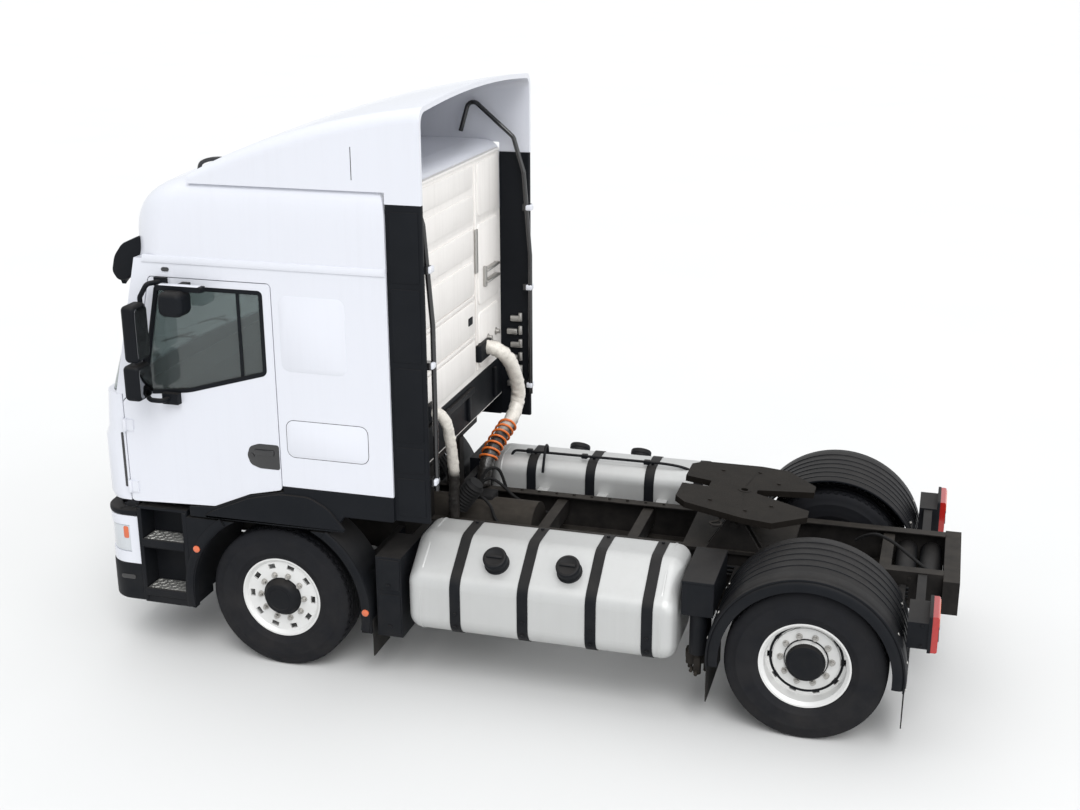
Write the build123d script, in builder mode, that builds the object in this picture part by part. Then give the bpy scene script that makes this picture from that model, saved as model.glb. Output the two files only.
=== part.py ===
from build123d import *
import math
import os

os.makedirs("parts", exist_ok=True)

# Independent sizes, in mm; "ahead" is measured forwards from the front axle
wheelbase = 3700
tyre_radius = 530
cab_half_width = 1240
cab_reach_behind = 918
skin = 45

# Clearances
gap = 6
pin_clearance = 0.5
bearing_clearance = 1
tyre_fit = 0.5
lamp_clearance = 2

# Wheels and tyres
rim_seat_radius = 284
rim_flange = 16
front_wheel_y = 1040
front_tyre_width = 305
rear_outer_y = 1055
twin_spacing = 350
rear_tyre_width = 300
rim_width = 250
hand_hole_count = 10

# Front axle and steering
kingpin_y = 850
kingpin_radius = 25
spindle_radius = 45

# Ladder frame
rail_outer_y = 385
rail_over_axle = 390
rail_height = 270
rail_flange = 85
rail_web = 10
rear_overhang = 820
end_plate = 110

# Cab heights and lengths
floor_over_rail = 500
floor_thickness = 70
door_height = 1420
header_height = 125
well_length = 390
tilt_pin_radius = 22
nose_length = 315

# Deflectors and fuel tanks
deflector_overhang = 248
deflector_wall = 30
tank_outer_y = 1250
tank_inner_y = 600
tank_height = 640
tank_round = 130
strap_thickness = 6
strap_share = (0.19, 0.445, 0.696, 0.9)
cap_share = (0.328, 0.6)

# Fifth wheel
coupling_before_axle = 600
coupling_tilt = 5
plate_thickness = 45
kingpin_bore_radius = 25.7
trunnion_radius = 28

# Places that follow from the sizes above
wheel_z = tyre_radius
rear_axle_ahead = -wheelbase
rear_inner_y = rear_outer_y - twin_spacing
rim_lip_radius = rim_seat_radius + rim_flange
rail_top_z = wheel_z + rail_over_axle
rail_low_z = rail_top_z - rail_height
rail_rear = rear_axle_ahead - rear_overhang
floor_bottom_z = rail_top_z + floor_over_rail
floor_top_z = floor_bottom_z + floor_thickness
door_top_z = floor_bottom_z + door_height
header_z = door_top_z + header_height
front_panel_low_z = floor_bottom_z - 230
screen_low_z = floor_bottom_z + 565
arch_radius = tyre_radius + 115
arch_band = 75
arch_flat_z = wheel_z + tyre_radius + 46
well_rear = arch_radius + 18
well_front = well_rear + well_length
door_front = well_front + 32
door_rear = -95
cab_nose = door_front + nose_length
bumper_front = cab_nose + 40
side_rear = -cab_reach_behind
tilt_ahead = door_front + 115
tilt_z = rail_top_z - 70
rail_front = tilt_ahead - 20
deflector_rear = side_rear - deflector_overhang
deflector_half_width = cab_half_width - 20
box_front = -(arch_radius + arch_band + 40)
box_rear = box_front - 185
tank_front = box_rear - 40
tank_rear = rear_axle_ahead + 840
tank_low_z = wheel_z - 90
tank_high_z = tank_low_z + tank_height
tank_length = tank_front - tank_rear
coupling_ahead = rear_axle_ahead + coupling_before_axle
coupling_pivot_z = rail_top_z + 210
crossmember_ahead = (
    rail_front - 100,
    -1680,
    coupling_ahead + 750,
    coupling_ahead + 200,
    rear_axle_ahead - 430,
)
front_axle_x = (end_plate - rail_rear - bumper_front) / 2


def side_view(y):
    """A sketch plane with distances ahead of the front axle and heights."""
    return Plane(origin=(front_axle_x, y, 0), x_dir=(1, 0, 0), z_dir=(0, -1, 0))


def plan_view(z):
    """A sketch plane with distances ahead of the front axle and to the left."""
    return Plane(origin=(front_axle_x, 0, z))


def end_view(ahead):
    """A sketch plane with distances to the left and heights."""
    return Plane(origin=(front_axle_x + ahead, 0, 0), x_dir=(0, 1, 0), z_dir=(1, 0, 0))


def wheel_plane(ahead, y):
    """A half-section plane of a wheel: across it and out from its axle."""
    return Plane(origin=(front_axle_x + ahead, y, wheel_z), x_dir=(0, 1, 0), z_dir=(1, 0, 0))


def wheel_axis(ahead):
    return Axis((front_axle_x + ahead, 0, wheel_z), (0, 1, 0))


def at(ahead, y, z):
    return (front_axle_x + ahead, y, z)


def keep(shape, label):
    shape.label = label
    export_step(shape, f"parts/{label}.step")


# Ladder frame: two channels, joined by the cross-members between their webs
with BuildPart() as frame:
    with BuildSketch(end_view(rail_rear)):
        with BuildLine():
            Polyline(
                (rail_outer_y, rail_low_z),
                (rail_outer_y, rail_top_z),
                (rail_outer_y - rail_flange, rail_top_z),
                (rail_outer_y - rail_flange, rail_top_z - rail_web),
                (rail_outer_y - rail_web, rail_top_z - rail_web),
                (rail_outer_y - rail_web, rail_low_z + rail_web),
                (rail_outer_y - rail_flange, rail_low_z + rail_web),
                (rail_outer_y - rail_flange, rail_low_z),
                close=True,
            )
        make_face()
    extrude(amount=rail_front - rail_rear)
    mirror(about=Plane.XZ)
    for ahead in crossmember_ahead:
        with Locations(at(ahead, 0, rail_top_z - 95)):
            Box(80, 2 * (rail_outer_y - rail_web), 130)
    with Locations(at(rail_rear - end_plate / 2, 0, rail_top_z - rail_height / 2)):
        Box(end_plate, 2 * (rail_outer_y + 65), rail_height - 30)
keep(frame.part, "frame")

# Front axle: a dropped beam with an eye for each kingpin
eye_height = 110
axle_drop = 90
with BuildPart() as front_axle:
    with Locations(at(0, 0, wheel_z - axle_drop)):
        Box(100, 2 * (kingpin_y - 290), eye_height)
    with BuildSketch(end_view(-50)):
        with BuildLine():
            Polyline(
                (kingpin_y - 310, wheel_z - axle_drop - eye_height / 2),
                (kingpin_y - 310, wheel_z - axle_drop + eye_height / 2),
                (kingpin_y - 50, wheel_z + eye_height / 2),
                (kingpin_y - 50, wheel_z - eye_height / 2),
                close=True,
            )
        make_face()
    extrude(amount=100)
    with Locations(at(0, kingpin_y, wheel_z)):
        Cylinder(60, eye_height)
        Cylinder(kingpin_radius + pin_clearance, eye_height, mode=Mode.SUBTRACT)
    mirror(about=Plane.XZ)
    with Locations(at(0, rail_outer_y + 25, wheel_z - 5), at(0, -rail_outer_y - 25, wheel_z - 5)):
        Box(150, 110, 64)
keep(front_axle.part, "front_axle")

# Steering knuckles: kingpin, fork, spindle and track rod arm
fork_gap = gap + 2
fork_plate = 45
arm_thickness = 20
with BuildPart() as knuckle:
    with Locations(at(0, kingpin_y, wheel_z)):
        Cylinder(kingpin_radius, eye_height + 2 * (fork_gap + fork_plate) + 28)
    for offset_z in (1, -1):
        with Locations(at(0, kingpin_y + 35, wheel_z + offset_z * (eye_height + fork_plate + 2 * fork_gap) / 2)):
            Box(90, 140, fork_plate)
    with Locations(at(0, kingpin_y + 92, wheel_z)):
        Box(110, 45, eye_height + 2 * fork_gap + 2 * fork_plate)
    with Locations(Location(at(0, kingpin_y + 150, wheel_z), (90, 0, 0))):
        Cylinder(spindle_radius, 180)
    with Locations(at(-160, kingpin_y - 10, wheel_z - eye_height / 2 - fork_gap - fork_plate + arm_thickness / 2 + 2)):
        Box(320, 60, arm_thickness)
keep(knuckle.part, "knuckle_left")
keep(mirror(knuckle.part, Plane.XZ), "knuckle_right")


def tyre_section(width):
    """Half-section of a tyre, bead to tread, with round shoulders."""
    seat = rim_seat_radius + tyre_fit
    half = width / 2
    bead = rim_width / 2 - 24
    belly = seat + 0.37 * (tyre_radius - seat)
    shoulder = tyre_radius - 0.24 * (tyre_radius - seat)
    tyre_line = FilletPolyline(
        (-bead, seat),
        (-bead, rim_lip_radius + 8),
        (-half, belly),
        (-half, shoulder),
        (-half + 25, tyre_radius),
        (half - 25, tyre_radius),
        (half, shoulder),
        (half, belly),
        (bead, rim_lip_radius + 8),
        (bead, seat),
        radius=28,
    )
    Line(tyre_line @ 1, tyre_line @ 0)


def rim_section(disc_y, disc_radius):
    """Half-section of a rim with its disc at disc_y from the rim's middle."""
    half = rim_width / 2
    Polyline(
        (-half, rim_lip_radius),
        (-half, rim_lip_radius - 12),
        (-half + 20, rim_seat_radius - 16),
        (disc_y - 8, rim_seat_radius - 18),
        (disc_y - 8, disc_radius),
        (disc_y + 8, disc_radius),
        (disc_y + 8, rim_seat_radius - 18),
        (half - 20, rim_seat_radius - 16),
        (half, rim_lip_radius - 12),
        (half, rim_lip_radius),
        (half - 22, rim_seat_radius),
        (-half + 22, rim_seat_radius),
        close=True,
    )


# Front wheel: one rim with a bulged disc, hub and brake drum
front_disc_y = 95
with BuildPart() as front_tyre:
    with BuildSketch(wheel_plane(0, front_wheel_y)):
        with BuildLine():
            tyre_section(front_tyre_width)
        make_face()
    revolve(axis=wheel_axis(0))
keep(front_tyre.part, "front_tyre_left")
keep(mirror(front_tyre.part, Plane.XZ), "front_tyre_right")

with BuildPart() as front_wheel:
    with BuildSketch(wheel_plane(0, front_wheel_y)):
        with BuildLine():
            rim_section(front_disc_y, 60)
        make_face()
    revolve(axis=wheel_axis(0))
    with Locations(Location(at(0, front_wheel_y + front_disc_y, wheel_z), (90, 0, 0))):
        with PolarLocations(rim_seat_radius - 50, hand_hole_count):
            Box(36, 54, 120, mode=Mode.SUBTRACT)
    with BuildSketch(wheel_plane(0, front_wheel_y)):
        with BuildLine():
            Polyline(
                (-75, spindle_radius + bearing_clearance),
                (-75, 110),
                (front_disc_y + 4, 140),
                (front_disc_y + 30, 125),
                (front_disc_y + 55, 110),
                (front_disc_y + 62, 0),
                (55, 0),
                (55, spindle_radius + bearing_clearance),
                close=True,
            )
        make_face()
    revolve(axis=wheel_axis(0))
    with BuildSketch(wheel_plane(0, front_wheel_y)):
        with Locations((0, 150)):
            Rectangle(120, 90)
    revolve(axis=wheel_axis(0))
keep(front_wheel.part, "front_wheel_left")
keep(mirror(front_wheel.part, Plane.XZ), "front_wheel_right")

# Rear wheels: twin rims on one hub, the outer one dished
outer_disc_y = 5
inner_disc_y = 100
with BuildPart() as rear_tyres:
    for wheel_y in (rear_outer_y, rear_inner_y):
        with BuildSketch(wheel_plane(rear_axle_ahead, wheel_y)):
            with BuildLine():
                tyre_section(rear_tyre_width)
            make_face()
        revolve(axis=wheel_axis(rear_axle_ahead))
keep(rear_tyres.part, "rear_tyres_left")
keep(mirror(rear_tyres.part, Plane.XZ), "rear_tyres_right")

axle_end_radius = 60
axle_tube_radius = 85
hub_radius = 0.7 * rim_seat_radius
with BuildPart() as rear_wheel:
    for wheel_y, disc_y in ((rear_outer_y, outer_disc_y), (rear_inner_y, inner_disc_y)):
        with BuildSketch(wheel_plane(rear_axle_ahead, wheel_y)):
            with BuildLine():
                rim_section(disc_y, 90)
            make_face()
        revolve(axis=wheel_axis(rear_axle_ahead))
        with Locations(Location(at(rear_axle_ahead, wheel_y + disc_y, wheel_z), (90, 0, 0))):
            with PolarLocations(0.83 * rim_seat_radius, hand_hole_count):
                Box(40, 46, 60, mode=Mode.SUBTRACT)
    with BuildSketch(wheel_plane(rear_axle_ahead, 0)):
        with BuildLine():
            Polyline(
                (rear_inner_y - 145, axle_end_radius + bearing_clearance),
                (rear_inner_y - 145, 150),
                (rear_inner_y - 65, hub_radius),
                (rear_outer_y + outer_disc_y + 8, hub_radius),
                (rear_outer_y + outer_disc_y + 20, 140),
                (rear_outer_y + 85, 125),
                (rear_outer_y + 100, 100),
                (rear_outer_y + 100, 0),
                (rear_outer_y + 40, 0),
                (rear_outer_y + 40, axle_end_radius + bearing_clearance),
                close=True,
            )
        make_face()
    revolve(axis=wheel_axis(rear_axle_ahead))
keep(rear_wheel.part, "rear_wheel_left")
keep(mirror(rear_wheel.part, Plane.XZ), "rear_wheel_right")

# Rear axle: housing, differential bulge and its input nose
axle_tube_half = rear_inner_y - 175
with BuildPart() as rear_axle:
    with Locations(Location(at(rear_axle_ahead, 0, wheel_z), (90, 0, 0))):
        Cylinder(axle_end_radius, 2 * (rear_outer_y + 20))
        Cylinder(axle_tube_radius, 2 * axle_tube_half)
        Cylinder(215, 260)
    with Locations(Location(at(rear_axle_ahead + 300, 0, wheel_z), (0, 90, 0))):
        Cylinder(110, 300)
    fillet(rear_axle.edges().filter_by(GeomType.CIRCLE).filter_by(lambda e: abs(e.radius - 215) < 1), 60)
keep(rear_axle.part, "rear_axle")

# Suspension: leaf springs in front, trailing beams with air bellows behind
bellows_places = (rear_axle_ahead - 390, rear_axle_ahead + 330)
with BuildPart() as suspension:
    with BuildSketch(side_view(rail_outer_y + 65)):
        with BuildLine():
            upper = ThreePointArc((820, wheel_z + 110), (0, wheel_z + 70), (-820, wheel_z + 110))
            lower = ThreePointArc((-820, wheel_z + 80), (0, wheel_z + 27), (820, wheel_z + 80))
            Line(upper @ 1, lower @ 0)
            Line(lower @ 1, upper @ 0)
        make_face()
    extrude(amount=80)
    with Locations(at(820, rail_outer_y + 35, wheel_z + 108), at(-820, rail_outer_y + 35, wheel_z + 108)):
        Box(90, 70, 60)
    with BuildSketch(side_view(rail_outer_y + 95)):
        with BuildLine():
            FilletPolyline(
                (rear_axle_ahead - 520, wheel_z - 130),
                (rear_axle_ahead - 520, wheel_z - 80),
                (rear_axle_ahead + 420, wheel_z - 80),
                (rear_axle_ahead + 760, wheel_z + 90),
                (rear_axle_ahead + 760, wheel_z + 10),
                (rear_axle_ahead + 440, wheel_z - 150),
                (rear_axle_ahead - 480, wheel_z - 150),
                radius=15,
                close=True,
            )
        make_face()
    extrude(amount=90)
    for ahead in bellows_places:
        with Locations(at(ahead, rail_outer_y + 50, wheel_z + 20)):
            Cylinder(112, 200)
        with Locations(at(ahead, rail_outer_y + 55, wheel_z + 160)):
            Box(140, 110, 80)
    with Locations(at(rear_axle_ahead, rail_outer_y + 50, wheel_z - 80)):
        Box(180, 80, 140)
    with Locations(Location(at(rear_axle_ahead, 0, wheel_z), (90, 0, 0))):
        Cylinder(axle_tube_radius, 2 * axle_tube_half, mode=Mode.SUBTRACT)
    with Locations(at(rear_axle_ahead + 700, rail_outer_y + 25, wheel_z + 170)):
        Box(120, 50, 240)
    mirror(about=Plane.XZ)
keep(suspension.part, "suspension")

# Engine and gearbox: plain blocks, with the shaft to the rear axle
engine_top_z = floor_bottom_z - 60
engine_low_z = wheel_z + 50
with BuildPart() as engine:
    with Locations(at(-30, 0, (engine_top_z + engine_low_z) / 2)):
        Box(1300, 540, engine_top_z - engine_low_z)
    fillet(engine.edges().filter_by(Axis.X), 40)
    for ahead in (300, -400):
        with Locations(at(ahead, 0, rail_top_z - 130)):
            Box(120, 2 * (rail_outer_y - rail_web), 60)
keep(engine.part, "engine")

gearbox_end = -1570
shaft_start = at(gearbox_end + 10, 0, wheel_z + 170)
shaft_end = at(rear_axle_ahead + 460, 0, wheel_z + 22)
shaft_run = Vector(shaft_end) - Vector(shaft_start)
with BuildPart() as driveline:
    with Locations(Location(at(gearbox_end + 445, 0, wheel_z + 210), (0, 90, 0))):
        Cylinder(230, 890)
    with Locations(at(gearbox_end + 220, 0, wheel_z + 160)):
        Box(420, 330, 380)
    with BuildSketch(Plane(origin=shaft_start, z_dir=shaft_run)):
        Circle(60)
    extrude(amount=shaft_run.length)
    with Locations(Location(at(rear_axle_ahead + 470, 0, wheel_z + 20), (0, 90, 0))):
        Cylinder(75, 40)
keep(driveline.part, "driveline")


def tank_outline():
    """Half a tank's section, seen from its end, with a wide sloping shoulder."""
    FilletPolyline(
        (tank_inner_y, tank_low_z),
        (tank_inner_y, tank_high_z),
        (tank_outer_y - 290, tank_high_z),
        (tank_outer_y, tank_high_z - 230),
        (tank_outer_y, tank_low_z),
        radius=tank_round,
        close=True,
    )


# Fuel tanks with domed ends, one on each side, on brackets from the rail
with BuildPart() as fuel_tanks:
    with BuildSketch(end_view(tank_rear)):
        with BuildLine():
            tank_outline()
        make_face()
    extrude(amount=tank_length)
    fillet(fuel_tanks.faces().sort_by(Axis.X)[0].edges(), tank_round - 35)
    fillet(fuel_tanks.faces().sort_by(Axis.X)[-1].edges(), tank_round - 35)
    for share in strap_share[:3]:
        with Locations(at(tank_front - share * tank_length - 110, (tank_inner_y + rail_outer_y) / 2, wheel_z + 215)):
            Box(80, tank_inner_y - rail_outer_y, 230)
    mirror(about=Plane.XZ)
keep(fuel_tanks.part, "fuel_tanks")

# Straps around the tanks and the filler caps on their shoulders
strap_width = 75
shoulder_angle = math.degrees(math.atan2(230, 290))
with BuildPart() as tank_fittings:
    for share in strap_share:
        with BuildSketch(end_view(tank_front - share * tank_length - strap_width / 2)):
            with BuildLine():
                tank_outline()
            make_face()
            offset(amount=strap_thickness)
            with BuildLine():
                tank_outline()
            make_face(mode=Mode.SUBTRACT)
        extrude(amount=strap_width)
    for share in cap_share:
        cap_place = at(tank_front - share * tank_length, tank_outer_y - 145, tank_high_z - 115)
        with Locations(Location(cap_place, (-shoulder_angle, 0, 0))):
            Cylinder(72, 90, align=(Align.CENTER, Align.CENTER, Align.MIN))
    mirror(about=Plane.XZ)
keep(tank_fittings.part, "tank_fittings")

# Fifth wheel base: a cross plate on the rails and two forked pedestals
base_plate = 24
pedestal_y = 340
ear_thickness = 30
with BuildPart() as fifth_wheel_base:
    with Locations(at(coupling_ahead - 20, 0, rail_top_z + base_plate / 2)):
        Box(760, 2 * (rail_outer_y + 35), base_plate)
    for sign in (1, -1):
        for ear_y in (sign * pedestal_y + 60, sign * pedestal_y - 30):
            with BuildSketch(side_view(ear_y)):
                with BuildLine():
                    Polyline(
                        (coupling_ahead - 190, rail_top_z + base_plate),
                        (coupling_ahead + 190, rail_top_z + base_plate),
                        (coupling_ahead + 55, coupling_pivot_z + 35),
                        (coupling_ahead - 55, coupling_pivot_z + 35),
                        close=True,
                    )
                make_face()
            extrude(amount=ear_thickness)
        with Locations(Location(at(coupling_ahead, sign * pedestal_y, coupling_pivot_z), (90, 0, 0))):
            Cylinder(trunnion_radius, 160)
keep(fifth_wheel_base.part, "fifth_wheel_base")

# Fifth wheel plate, resting tipped back, open to the rear at its throat
tilt_cos = math.cos(math.radians(coupling_tilt))
tilt_sin = math.sin(math.radians(coupling_tilt))
plate_plane = Plane(
    origin=at(coupling_ahead, 0, coupling_pivot_z),
    x_dir=(tilt_cos, 0, tilt_sin),
    z_dir=(-tilt_sin, 0, tilt_cos),
)
plate_low = 70
lug_radius = 50
with BuildPart() as fifth_wheel_plate:
    with BuildSketch(plate_plane.offset(plate_low)):
        with BuildLine():
            Polyline(
                (250, 55),
                (440, 75),
                (440, 330),
                (360, 420),
                (-60, 517),
                (-260, 517),
                (-480, 300),
                (-480, 180),
                (-90, 32),
                (-90, 0),
                (250, 0),
                close=True,
            )
        make_face()
        mirror(about=Plane.XZ)
        Circle(kingpin_bore_radius, mode=Mode.SUBTRACT)
    extrude(amount=plate_thickness)
    for sign in (1, -1):
        with Locations(at(coupling_ahead, sign * pedestal_y, coupling_pivot_z + 34)):
            Box(2 * lug_radius, 50, 96)
        with Locations(Location(at(coupling_ahead, sign * pedestal_y, coupling_pivot_z), (90, 0, 0))):
            Cylinder(lug_radius, 50)
            Cylinder(trunnion_radius + pin_clearance, 60, mode=Mode.SUBTRACT)
keep(fifth_wheel_plate.part, "fifth_wheel_plate")

# Rear mudguards: a full arch over each pair of tyres, on brackets from the rail
guard_inner_radius = tyre_radius + 95
guard_thickness = 14
guard_low_z = wheel_z - 70
guard_outer_y = rear_outer_y + 195
guard_width = 700
bracket_reach = 560
with BuildPart() as rear_mudguards:
    with BuildSketch(side_view(guard_outer_y)):
        with Locations((rear_axle_ahead, wheel_z)):
            Circle(guard_inner_radius + guard_thickness)
            Circle(guard_inner_radius, mode=Mode.SUBTRACT)
        with Locations((rear_axle_ahead, guard_low_z - 1000)):
            Rectangle(4000, 2000, mode=Mode.SUBTRACT)
    extrude(amount=guard_width)
    for ahead in (rear_axle_ahead - bracket_reach, rear_axle_ahead + bracket_reach):
        with Locations(at(ahead, rail_outer_y + 187, wheel_z + 270)):
            Box(44, 374, 44)
    mirror(about=Plane.XZ)
keep(rear_mudguards.part, "rear_mudguards")

# Flaps hung below the mudguards
with BuildPart() as mud_flaps:
    for ahead in (rear_axle_ahead - guard_inner_radius - 4, rear_axle_ahead + guard_inner_radius + 4):
        with Locations(at(ahead, guard_outer_y - 325, guard_low_z - 130)):
            Box(8, 600, 260)
    with Locations(at(-arch_radius - arch_band - 4, cab_half_width - 160, wheel_z - 190)):
        Box(8, 290, 280)
    mirror(about=Plane.XZ)
keep(mud_flaps.part, "mud_flaps")

# Rear lamps on the ends of their boxes
lamp_box_front = rear_axle_ahead - guard_inner_radius + 5
lamp_box_rear = lamp_box_front - 130
lamp_y = rear_outer_y - 65
lamp_z = wheel_z + 300
with BuildPart() as rear_lamps:
    with Locations(at(lamp_box_rear - 30, lamp_y, lamp_z + 15)):
        Box(60, 320, 250)
    fillet(rear_lamps.edges().filter_by(Axis.Y), 14)
    mirror(about=Plane.XZ)
keep(rear_lamps.part, "rear_lamps")

# Boxes and air tanks along the frame
equipment_outer_y = cab_half_width - 15
valve_box_rear = rear_axle_ahead + guard_inner_radius - 20
with BuildPart() as side_equipment:
    for left, outer, width, ahead_low, ahead_high, low, high in (
        (1, equipment_outer_y, 420, box_rear, box_front, wheel_z - 160, wheel_z + 440),
        (-1, equipment_outer_y, 420, box_rear, box_front, wheel_z - 160, wheel_z + 440),
        (1, equipment_outer_y - 45, 560, valve_box_rear, tank_rear - 25, wheel_z + 260, wheel_z + 500),
        (1, lamp_y + 160, 340, lamp_box_rear, lamp_box_front, wheel_z + 210, wheel_z + 390),
        (-1, lamp_y + 160, 340, lamp_box_rear, lamp_box_front, wheel_z + 210, wheel_z + 390),
    ):
        middle = (ahead_low + ahead_high) / 2
        with Locations(at(middle, left * (outer - width / 2), (low + high) / 2)):
            Box(ahead_high - ahead_low, width, high - low)
        with Locations(at(middle, left * (outer - width + rail_outer_y) / 2, wheel_z + 345)):
            Box(60, outer - width - rail_outer_y, 70)
    for y in (equipment_outer_y - 130, equipment_outer_y - 290):
        with Locations(at((valve_box_rear + tank_rear - 25) / 2, y, wheel_z + 110)):
            Cylinder(60, 300)
    for ahead in (rear_axle_ahead - 560, rear_axle_ahead - 730):
        with Locations(Location(at(ahead, 0, rail_top_z - 160), (90, 0, 0))):
            Cylinder(75, 2 * (rail_outer_y - rail_web))
keep(side_equipment.part, "side_equipment")

# Bumper: a bowed beam with round corners, under the cab's front edge
bumper_low_z = wheel_z - 130
bumper_high_z = front_panel_low_z - 85
bumper_wall = 75
tilt_arm_y = 250
tilt_arm_width = 40
lamp_low_z = wheel_z + 160
lamp_high_z = wheel_z + 530
lamp_inner_y = cab_half_width - 440


def front_outline(front, corner_front, side_back, half_width, corner):
    """Half a bowed front, from the middle line round the corner to the side."""
    reach = half_width - corner
    nose = ThreePointArc((front, 0), (front - (front - corner_front) / 4, reach / 2), (corner_front, reach))
    turn = ThreePointArc(
        nose @ 1,
        (corner_front - 0.29 * corner, half_width - 0.29 * corner),
        (corner_front - corner, half_width),
    )
    side = Line(turn @ 1, (side_back, half_width))
    Line(side @ 1, (side_back, 0))
    Line((side_back, 0), (front, 0))


def bumper_outline(back, inset, corner):
    """Half the bumper in plan, drawn inwards by inset."""
    front_outline(bumper_front - inset, bumper_front - 75 - inset, back, cab_half_width - 2 - inset, corner)


bumper_back = well_front + 9
with BuildPart() as bumper:
    with BuildSketch(plan_view(bumper_low_z)):
        with BuildLine():
            bumper_outline(bumper_back, 0, 190)
        make_face()
        with BuildLine():
            bumper_outline(bumper_back, bumper_wall, 170)
        make_face(mode=Mode.SUBTRACT)
    extrude(amount=bumper_high_z - bumper_low_z)
    with Locations(at(tilt_ahead + 50, rail_outer_y - 40, tilt_z - 65)):
        Box(bumper_front - tilt_ahead, 60, 200)
    with Locations(at(bumper_front - 60, tilt_arm_y, tilt_z + 310)):
        Box(200, tilt_arm_width + 30, 600, mode=Mode.SUBTRACT)
    with Locations(at(bumper_front - 180, lamp_inner_y + 250, (lamp_low_z + lamp_high_z) / 2)):
        Box(420, 500, lamp_high_z - lamp_low_z, mode=Mode.SUBTRACT)
    mirror(about=Plane.XZ)
keep(bumper.part, "bumper")

# White panels in the bumper's corners, each with a pocket for its headlamp
lens_low_z = lamp_low_z + 85
lens_high_z = lamp_high_z - 75
lens_back = bumper_back + 75
with BuildPart() as lamp_panels:
    with BuildSketch(plan_view(lamp_low_z)):
        with BuildLine():
            bumper_outline(bumper_back, 4, 190)
        make_face()
        with BuildLine():
            bumper_outline(bumper_back, bumper_wall, 170)
        make_face(mode=Mode.SUBTRACT)
    extrude(amount=lamp_high_z - lamp_low_z - lamp_clearance)
    with Locations(at(bumper_front - 180, (lamp_inner_y + lamp_clearance) / 2, wheel_z + 350)):
        Box(700, lamp_inner_y + lamp_clearance, 800, mode=Mode.SUBTRACT)
    with Locations(at(lens_back + 250, lamp_inner_y + 310, (lens_low_z + lens_high_z) / 2)):
        Box(500, 500, lens_high_z - lens_low_z, mode=Mode.SUBTRACT)
    mirror(about=Plane.XZ)
keep(lamp_panels.part, "lamp_panels")

# Headlamps, standing on the lower edges of the pockets
with BuildPart() as headlamps:
    with BuildSketch(plan_view(lens_low_z)):
        with BuildLine():
            bumper_outline(lens_back + lamp_clearance, 9, 190)
        make_face()
        with BuildLine():
            bumper_outline(lens_back + lamp_clearance, bumper_wall - 5, 140)
        make_face(mode=Mode.SUBTRACT)
    extrude(amount=lens_high_z - lens_low_z - lamp_clearance)
    with Locations(at(bumper_front - 180, (lamp_inner_y + 60 + lamp_clearance) / 2, wheel_z + 350)):
        Box(700, lamp_inner_y + 60 + lamp_clearance, 800, mode=Mode.SUBTRACT)
    mirror(about=Plane.XZ)
keep(headlamps.part, "headlamps")

# Step wells beside the front wheels, with the mudguards they carry
upper_step_z = wheel_z + 360
lower_step_z = wheel_z - 25
well_high_z = front_panel_low_z - 40
well_width = 290
well_middle = (well_rear + well_front) / 2
arch_front_cut = math.sqrt(arch_radius**2 - (arch_flat_z - wheel_z) ** 2)
with BuildPart() as step_wells:
    with Locations(at(well_middle, cab_half_width - well_width / 2, (well_high_z + bumper_low_z) / 2)):
        Box(well_length, well_width, well_high_z - bumper_low_z)
    for low, high in ((upper_step_z, well_high_z - 20), (lower_step_z, upper_step_z - 60)):
        with Locations(at(well_middle + 12, cab_half_width - 70, (low + high) / 2)):
            Box(well_length - 60, 200, high - low, mode=Mode.SUBTRACT)
    with Locations(at(well_middle + 42, (rail_outer_y + cab_half_width - 280) / 2, wheel_z + 300)):
        Box(80, cab_half_width - 280 - rail_outer_y, 90)
    with BuildSketch(side_view(cab_half_width + 5)):
        with BuildLine():
            inner_edge = ThreePointArc(
                (arch_front_cut, arch_flat_z),
                (0.8 * arch_radius, wheel_z + 0.6 * arch_radius),
                (arch_radius, wheel_z),
            )
            Polyline(
                inner_edge @ 1,
                (arch_radius, bumper_low_z),
                (well_rear + 5, bumper_low_z),
                (well_rear + 5, arch_flat_z),
                inner_edge @ 0,
            )
        make_face()
    extrude(amount=60)
    with BuildSketch(side_view(cab_half_width + 5)):
        with BuildLine():
            guard_edge = ThreePointArc(
                (-arch_front_cut, arch_flat_z),
                (-0.8 * arch_radius, wheel_z + 0.6 * arch_radius),
                (-arch_radius, wheel_z),
            )
            guard_radius = arch_radius + arch_band
            guard_cut = math.sqrt(guard_radius**2 - (arch_flat_z - wheel_z) ** 2)
            outer_edge = ThreePointArc(
                (-guard_radius, wheel_z),
                (-0.8 * guard_radius, wheel_z + 0.6 * guard_radius),
                (-guard_cut, arch_flat_z),
            )
            Polyline(
                guard_edge @ 1,
                (-arch_radius, wheel_z - 150),
                (-guard_radius, wheel_z - 150),
                outer_edge @ 0,
            )
            Line(outer_edge @ 1, guard_edge @ 0)
        make_face()
    extrude(amount=310)
    with Locations(at(-guard_radius + 94, (rail_outer_y + cab_half_width - 290) / 2, wheel_z + 270)):
        Box(50, cab_half_width - 290 - rail_outer_y, 80)
    mirror(about=Plane.XZ)
keep(step_wells.part, "step_wells")

# Rear cab support: a portal on the frame under the cab's back edge
support_ahead = side_rear + 118
with BuildPart() as cab_support:
    for left in (1, -1):
        with Locations(at(support_ahead, left * (rail_outer_y - 45), (rail_top_z + floor_bottom_z - 100) / 2)):
            Box(110, 90, floor_bottom_z - 100 - rail_top_z)
        with Locations(at(support_ahead, left * 600, floor_bottom_z - 13)):
            Cylinder(60, 26)
    with Locations(at(support_ahead, 0, floor_bottom_z - 70)):
        Box(90, 1500, 90)
keep(cab_support.part, "cab_support")

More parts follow.
